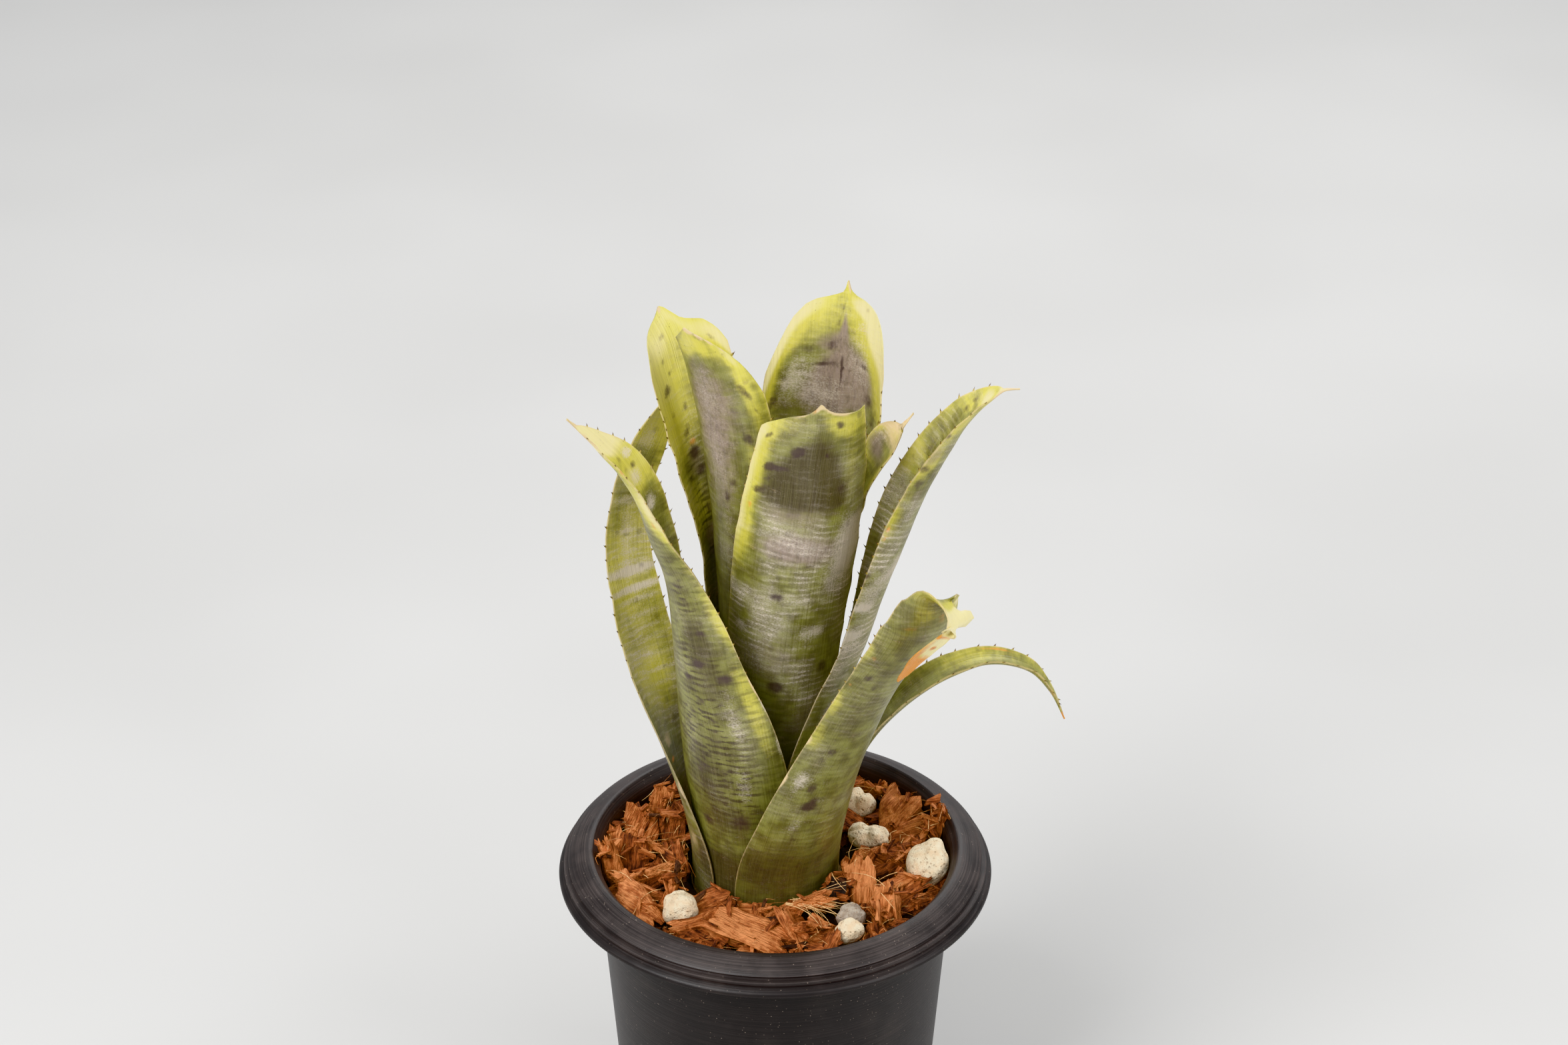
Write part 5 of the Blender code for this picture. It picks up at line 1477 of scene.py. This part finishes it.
@dataclass
class Medium:
    """The husk in the pot: a bed, slabs laid one by one, and chips, crumbs and strands scattered over it."""
    pot: Pot
    stones: tuple[Stone, ...] = STONES
    slabs: tuple[tuple[float, ...], ...] = SLABS
    level: float = POT_TOP - 12.0
    hole: float = 23.5
    clearance: float = 0.4  # from the wall and the leaves' foot
    chips: int = 96
    crumbs: int = 330
    strands: int = 460
    straws: int = 30
    seed: int = 11
    husk: HuskFinish = HuskFinish("husk_chip")
    # painted shade: the bed shows only in the gaps between the chips, and its near-black browns stand in for
    # the shadow there
    under: HuskFinish = HuskFinish("husk_bed", (0.16, 0.052, 0.020, 1), (0.070, 0.022, 0.010, 1),
                                   (0.020, 0.008, 0.005, 1))
    strand: StrandFinish = field(default_factory=StrandFinish)

    def fitted(self, points: np.ndarray, gap: float) -> np.ndarray:
        """Keep points off the leaves' foot, inside the pot's wall and off the stones.

        Args:
            points: any places.
            gap: how far off the stones they stay.

        Returns:
            The points.
        """
        offset = points[..., :2] - PLANT[:2]
        away = np.linalg.norm(offset, axis=-1, keepdims=True)
        foot = self.hole + self.clearance + np.clip(points[..., 2:] - PLANT[2], 0, 8) * 0.35
        flat = PLANT[:2] + offset * np.maximum(1, foot / np.maximum(away, 1e-6))
        reach = np.linalg.norm(flat, axis=-1, keepdims=True)
        flat = flat * np.minimum(1, (self.pot.inner_radius(points[..., 2:]) - 0.35) / np.maximum(reach, 1e-6))
        points = np.concatenate([flat, points[..., 2:]], axis=-1)
        for stone in self.stones:
            points = stone.clear(points, gap)
        return points

    def build_bed(self, effects: Effects) -> None:
        """Solid of rings: a well for the plant, a rough top out to the wall, then the wall and the floor.

        The rings of the well are round the plant's axis, and move over to the pot's axis on the way out.

        Args:
            effects: the shared effects.
        """
        columns = 220
        well = [(12.0, 94.0), (23.0, 94.0), (23.5, 94.3), (23.8, 99.0), (24.2, self.level - 0.5)]
        outer = float(self.pot.inner_radius(self.level)) - self.clearance
        top = [(radius, self.level + 0.6) for radius in np.linspace(25.2, outer, 34)]
        side = [(float(self.pot.inner_radius(height)) - self.clearance, height)
                for height in np.linspace(self.level - 2, 4.2, 14)]
        rings = np.array(well + top + side + [(42.2, 2.6), (20.0, 2.4)])
        angle = np.arange(columns) * 2 * np.pi / columns
        rest = np.ones(len(rings) - len(well) - len(top))
        shift = np.concatenate([np.zeros(len(well)), np.linspace(0, 1, len(top)) ** 0.7, rest])
        middle = PLANT[:2] * (1 - shift[:, None])
        flat = middle[:, None] + rings[:, None, :1] * np.stack([np.cos(angle), np.sin(angle)], axis=-1)
        height = np.broadcast_to(rings[:, None, 1:], (len(rings), columns, 1))
        body = np.concatenate([flat, height], axis=-1)
        high = slice(len(well), len(well) + len(top))
        ease = np.sin(np.linspace(0, np.pi, len(top)))[:, None] ** 0.5
        coarse, fine = ripples(body[high, :, :2], 5, 4, 14, 24), ripples(body[high, :, :2], 6, 1.6, 3.5, 24)
        body[high, :, 2] += ease * (1.3 * coarse + 0.5 * fine)
        points = np.vstack([[[*PLANT[:2], well[0][1]]], body.reshape(-1, 3), [[0, 0, rings[-1, 1]]]])
        values = {"fibre": points * [1.0, 0.5, 1.0], "tone": np.full(len(points), 0.3),
                  "char": np.zeros(len(points))}
        faces = sealed_faces(len(rings), columns)
        piece = make_piece("husk_bed", points, faces, self.under.build(effects), values)
        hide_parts("husk_medium")

    def chip_forms(self, draw: np.random.Generator, size: np.ndarray, rows: int, columns: int) -> np.ndarray:
        """Torn slabs in their own axes, length along X.

        Round a slab, its edge lies where the nearest of six planes is met, two of them the broad
        faces. The section keeps its size to the ends, is ridged along the length, and is wedged,
        twisted and bowed a little. Over each end's face the length runs out by an uneven amount.

        Args:
            draw: source of the differences between chips.
            size: length, width and depth of each chip.
            rows: rings along a chip, the first and last of them on the faces of its ends.
            columns: points round a ring.

        Returns:
            Points by chip, with the poles first and last.
        """
        count = len(size)
        spread = np.sin(np.linspace(-1, 1, rows - 2) * np.pi / 2)
        t = np.concatenate([[-1, -1], spread, [1, 1]])[None, :, None]
        fill = np.concatenate([[0, 0.55], np.ones(rows - 2), [0.55, 0]])[None, :, None]
        angle = np.arange(columns) * 2 * np.pi / columns
        planes = np.radians([90, 270, 0, 180, 35, 215]) + draw.uniform(-0.3, 0.3, (count, 6))
        reach = np.array([0.85, 0.85, 1, 1, 1.05, 1.05]) * draw.uniform(0.8, 1.0, (count, 6))
        facing = np.cos(angle[:, None] - planes[:, None])
        section = (reach[:, None] / np.maximum(facing, 0.08)).min(axis=2)[:, None]
        ring = (section * fill)[..., None] * np.stack([np.cos(angle), np.sin(angle)], axis=-1)
        shift = draw.uniform(0, 500, (count, 1, 1, 2))
        lengthways = np.broadcast_to(t[..., None], (*ring.shape[:3], 1))
        ends = 3 * np.sign(lengthways)
        ridge = 0.075 * ripples(ring + shift, 21, 0.3, 1.1, 14)
        lump = 0.12 * ripples(np.concatenate([ring * 0.6 + shift, lengthways], axis=-1), 22, 0.4, 1.6, 14)
        tear = 0.21 * ripples(np.concatenate([ring + shift, ends], axis=-1), 23, 0.3, 0.9, 14)
        most = np.array([0.25, 0.28, 0.012, 0.30]).reshape(4, 1, 1, 1)
        skew, wedge, bow, twist = draw.uniform(-1, 1, (4, count, 1, 1)) * most
        x = t * (1 + tear * t * t) * size[:, 0, None, None] / 2
        swell = (1 + ridge + lump) * (1 + wedge * t)
        y, z = (swell * ring[..., k] * size[:, k + 1, None, None] / 2 for k in (0, 1))
        y, z = (y * np.cos(twist * t) - z * np.sin(twist * t) + skew * x,
                y * np.sin(twist * t) + z * np.cos(twist * t) + bow * x * x)
        body = np.stack([x, y, z], axis=-1)
        poles = body[:, [0, -1]].mean(axis=2)
        return np.concatenate([poles[:, :1], body[:, 1:-1].reshape(count, -1, 3), poles[:, 1:]], axis=1)

    def scatter_chips(self, draw: np.random.Generator) -> np.ndarray:
        """Rows like the slabs' for chips on a golden-angle spread between plant and wall, in three layers.

        Args:
            draw: source of the differences between them.

        Returns:
            Rows in the order of the slabs' table.
        """
        index = np.arange(self.chips)
        inner, outer = self.hole + 3.5, float(self.pot.inner_radius(self.level)) - 2.4
        radius = np.sqrt(inner ** 2 + (outer ** 2 - inner ** 2) * ((index + 0.5) / self.chips * 7.0 % 1.0))
        angle = index * np.pi * (3 - np.sqrt(5)) + draw.uniform(-0.2, 0.2, self.chips)
        middle = np.stack([radius * np.cos(angle), radius * np.sin(angle)], axis=-1)
        for stone in self.stones:
            middle = stone.aside(middle, 4.0)
        layer = index % 3
        low = np.array([[8, 5, 2.6, 0, -28, -60, 0.2]])
        high = np.array([[15, 9, 4.6, 360, 28, 60, 0.85]])
        drawn = draw.uniform(low, high, (self.chips, 7))
        height = self.level + np.array([0.4, 1.6, 2.9])[layer] + draw.uniform(-0.6, 0.6, self.chips)
        return np.column_stack([middle, height, drawn, np.zeros(self.chips)])

    def scatter_crumbs(self, draw: np.random.Generator, tops: np.ndarray) -> np.ndarray:
        """Rows like the slabs' for slivers that lie on the chips, at points of their upper surface.

        Args:
            draw: source of the differences between them.
            tops: points that they may lie on.

        Returns:
            Rows in the order of the slabs' table.
        """
        middle = tops[draw.integers(0, len(tops), self.crumbs)] + [0, 0, 0.2]
        for stone in self.stones:
            middle = np.concatenate([stone.aside(middle[:, :2], 1.2), middle[:, 2:]], axis=-1)
        low = np.array([[2.5, 0.9, 0.5, 0, -30, -80, 0.15]])
        high = np.array([[8, 2.6, 1.5, 360, 30, 80, 1.0]])
        drawn = draw.uniform(low, high, (self.crumbs, 7))
        return np.column_stack([middle, drawn, (draw.uniform(0, 1, self.crumbs) > 0.93) * 0.8])

    def build_husk(self, effects: Effects) -> np.ndarray:
        """Make slabs, chips and crumbs, each in one piece.

        Args:
            effects: the shared effects.

        Returns:
            The points on top, for what lies on them.
        """
        draw = np.random.default_rng(self.seed)
        material = self.husk.build(effects)
        tops = np.empty((0, 3))
        kinds = (("husk_slabs", 26, 30, lambda: np.array(self.slabs)),
                 ("husk_chips", 12, 20, lambda: self.scatter_chips(draw)),
                 ("husk_crumbs", 5, 8, lambda: self.scatter_crumbs(draw, tops)))
        for name, rows, columns, lay in kinds:
            laid = lay()
            forms = self.chip_forms(draw, laid[:, 3:6], rows, columns)
            turned = forms @ turned_axes(*np.radians(laid[:, 6:9]).T)
            points = self.fitted(turned + laid[:, None, :3], 0.2)
            each = points.shape[1]
            fibre = forms[..., [1, 0, 2]] + draw.uniform(0, 300, (len(forms), 1, 3))
            values = {"fibre": fibre.reshape(-1, 3), "tone": np.repeat(laid[:, 9], each),
                      "char": np.repeat(laid[:, 10], each)}
            faces = repeated(sealed_faces(rows, columns), each, len(forms))
            piece = make_piece(name, points, faces, material, values, crease=36)
            upper = points[points[..., 2] > laid[:, 2, None]]
            tops = np.concatenate([tops, upper[upper[:, 2] > self.level + 2.0]])
        return tops

    def build_strands(self, effects: Effects, tops: np.ndarray) -> None:
        """Thin tapered tubes that curve away over the husk, and a bundle of straw at the front.

        A strand's middle is root + way × t + lift × t(1 − t) + side × t², and its radius falls
        to its end.

        Args:
            effects: the shared effects.
            tops: points that they may start from.
        """
        draw = np.random.default_rng(self.seed + 1)
        count = self.strands
        straw = np.arange(count) < self.straws
        root = tops[draw.integers(0, len(tops), count)] - [0, 0, 0.15]
        root[straw] = draw.uniform((3, -24, 108), (9, -20, 109.5), (self.straws, 3))
        turn = np.where(straw, draw.uniform(-0.9, -0.1, count), draw.uniform(0, 2 * np.pi, count))
        length = np.where(straw, draw.uniform(9, 16, count), 2.5 + 10 * draw.uniform(0, 1, count) ** 2)
        rise = draw.uniform(-0.15, 0.15, count)
        way = np.stack([np.cos(turn), np.sin(turn), rise], axis=-1) * length[:, None]
        bend = (draw.uniform(-0.4, 0.4, count) * length)[:, None]
        side = np.stack([-np.sin(turn), np.cos(turn), 0 * turn], axis=-1) * bend
        rows, columns = 9, 4
        t = np.linspace(0, 1, rows)[None, :, None]
        lift = np.array([0, 0, 1.0]) * (draw.uniform(0.1, 0.4, (count, 1)) * length[:, None])[:, None]
        middle = root[:, None] + way[:, None] * t + lift * t * (1 - t) + side[:, None] * t * t
        middle = self.fitted(middle, 0.3)
        tangent = unit(np.gradient(middle, axis=1))
        level = unit(np.cross(tangent, [0.02, 0.01, 1.0]))
        above = np.cross(level, tangent)
        angle = np.arange(columns) * 2 * np.pi / columns
        thick = (draw.uniform(0.07, 0.17, (count, 1, 1)) * (1 - 0.6 * t))[..., None]
        ring = level[:, :, None] * np.cos(angle)[:, None] + above[:, :, None] * np.sin(angle)[:, None]
        body = (middle[:, :, None] + ring * thick).reshape(count, -1, 3)
        ends = middle[:, :1] - tangent[:, :1] * 0.1, middle[:, -1:] + tangent[:, -1:] * 0.1
        points = np.concatenate([ends[0], body, ends[1]], axis=1)
        each = points.shape[1]
        tone = np.repeat(np.where(straw, 1.0, draw.uniform(0, 1, count)), each)
        faces = repeated(sealed_faces(rows, columns), each, count)
        material = self.strand.build(effects)
        piece = make_piece("husk_strands", points, faces, material, {"tone": tone}, crease=120)

    def build(self, effects: Effects) -> None:
        """Make the bed, then what lies on it."""
        self.build_bed(effects)
        self.build_strands(effects, self.build_husk(effects))


# Stem

@dataclass(frozen=True)
class StemFinish:
    """Woody stem: brown, ringed and fibrous."""
    bark: Colour = (0.16, 0.085, 0.035, 1)
    pith: Colour = (0.33, 0.22, 0.10, 1)

    def dress(self, stem: bpy.types.Object, effects: Effects) -> None:
        """Give the CAD stem its material; its streaks stand upright.

        Args:
            stem: the CAD model's stem.
            effects: the shared effects.
        """
        material, g, shader = new_material("stem_wood")
        upright = g.node("ShaderNodeVectorRotate", {"Vector": g.place(), "Angle": math.pi / 2},
                         rotation_type="X_AXIS").outputs[0]
        streak = g.effect(effects.streaks, {"Vector": upright, "Across": 0.9, "Along": 0.1})
        grain = g.effect(effects.grain, {"Vector": g.place(), "Size": 0.4})
        g.finish(shader, g.mix(streak.outputs["Coarse"], self.bark, self.pith),
                 g.smooth(grain.outputs["Tooth"], 0.2, 0.8, 0.6, 0.85),
                 g.bump(streak.outputs["Fine"], 0.3, 0.8))
        stem.data.materials.clear()
        stem.data.materials.append(material)
        LOG.info("%s: given its wood", stem.name)


# Studio

@dataclass(frozen=True)
class Lamp:
    """A square soft light that faces the plant: its place and width in metres, and its power in watts."""
    name: str
    place: tuple[float, float, float]
    width: float
    power: float

    def build(self) -> None:
        """Hang it and turn it to the middle of the plant."""
        data = bpy.data.lights.new(self.name, "AREA")
        data.energy, data.size = self.power, self.width
        lamp = bpy.data.objects.new(self.name, data)
        lamp.location = self.place
        lamp.rotation_euler = (Vector((0, 0, 0.16)) - Vector(self.place)).to_track_quat("-Z", "Y").to_euler()
        bpy.context.scene.collection.objects.link(lamp)


@dataclass
class Studio:
    """Pale floor, soft lights and the camera at the photograph's angle."""
    lamps: tuple[Lamp, ...] = (
        Lamp("key", (-0.75, -0.75, 1.15), 0.8, 18.0),
        Lamp("fill", (0.95, -0.55, 0.75), 1.0, 8.0),
        Lamp("rear", (0.2, 0.9, 1.0), 0.9, 7.0),
    )
    floor: float = 4.0  # half of the floor's side, in metres
    pale: Colour = (0.62, 0.61, 0.595, 1)
    shade: Colour = (0.58, 0.57, 0.555, 1)
    air: Colour = (0.94, 0.97, 1.0, 1)
    sky: float = 0.55
    camera: tuple[float, float, float] = (0.00264, -0.86945, 0.71956)
    pitch: float = 60.4
    lens: float = 80.71

    def lay_floor(self) -> None:
        """Level square with a faint cloud in its colour."""
        mesh = bpy.data.meshes.new("floor")
        corners = ((-1, -1), (1, -1), (1, 1), (-1, 1))
        mesh.from_pydata([(x * self.floor, y * self.floor, 0) for x, y in corners], [], [(0, 1, 2, 3)])
        floor = bpy.data.objects.new("floor", mesh)
        bpy.context.scene.collection.objects.link(floor)
        material, g, shader = new_material("floor_pale")
        g.finish(shader, g.mix(g.smooth(g.noise(g.place(), 0.004, 2.0), 0.3, 0.7), self.shade, self.pale))
        shader.inputs["Roughness"].default_value = 0.8
        mesh.materials.append(material)

    def build(self) -> None:
        """Lay the floor, hang the lights, light the room and set the camera."""
        self.lay_floor()
        for lamp in self.lamps:
            lamp.build()
        world = bpy.data.worlds.new("room")
        world.use_nodes = True
        background = world.node_tree.nodes["Background"]
        background.inputs["Color"].default_value = self.air
        background.inputs["Strength"].default_value = self.sky
        bpy.context.scene.world = world
        data = bpy.data.cameras.new("camera")
        data.lens, data.sensor_width = self.lens, 36.0
        camera = bpy.data.objects.new("camera", data)
        camera.location = self.camera
        camera.rotation_euler = (math.radians(self.pitch), 0, 0)
        bpy.context.scene.collection.objects.link(camera)
        bpy.context.scene.camera = camera
        bpy.context.scene.view_settings.view_transform = "Khronos PBR Neutral"


def main() -> None:
    """Build the room, then the pot, what fills it, and the plant."""
    logging.basicConfig(level=logging.INFO, format="%(message)s")
    effects = Effects.build()
    Studio().build()
    pot = Pot()
    pot.build(effects)
    Medium(pot).build(effects)
    Pebbles().build(effects)
    Plant().build(effects)
    StemFinish().dress(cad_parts["stump"], effects)
    bpy.context.view_layer.update()


if __name__ == "__main__":
    main()
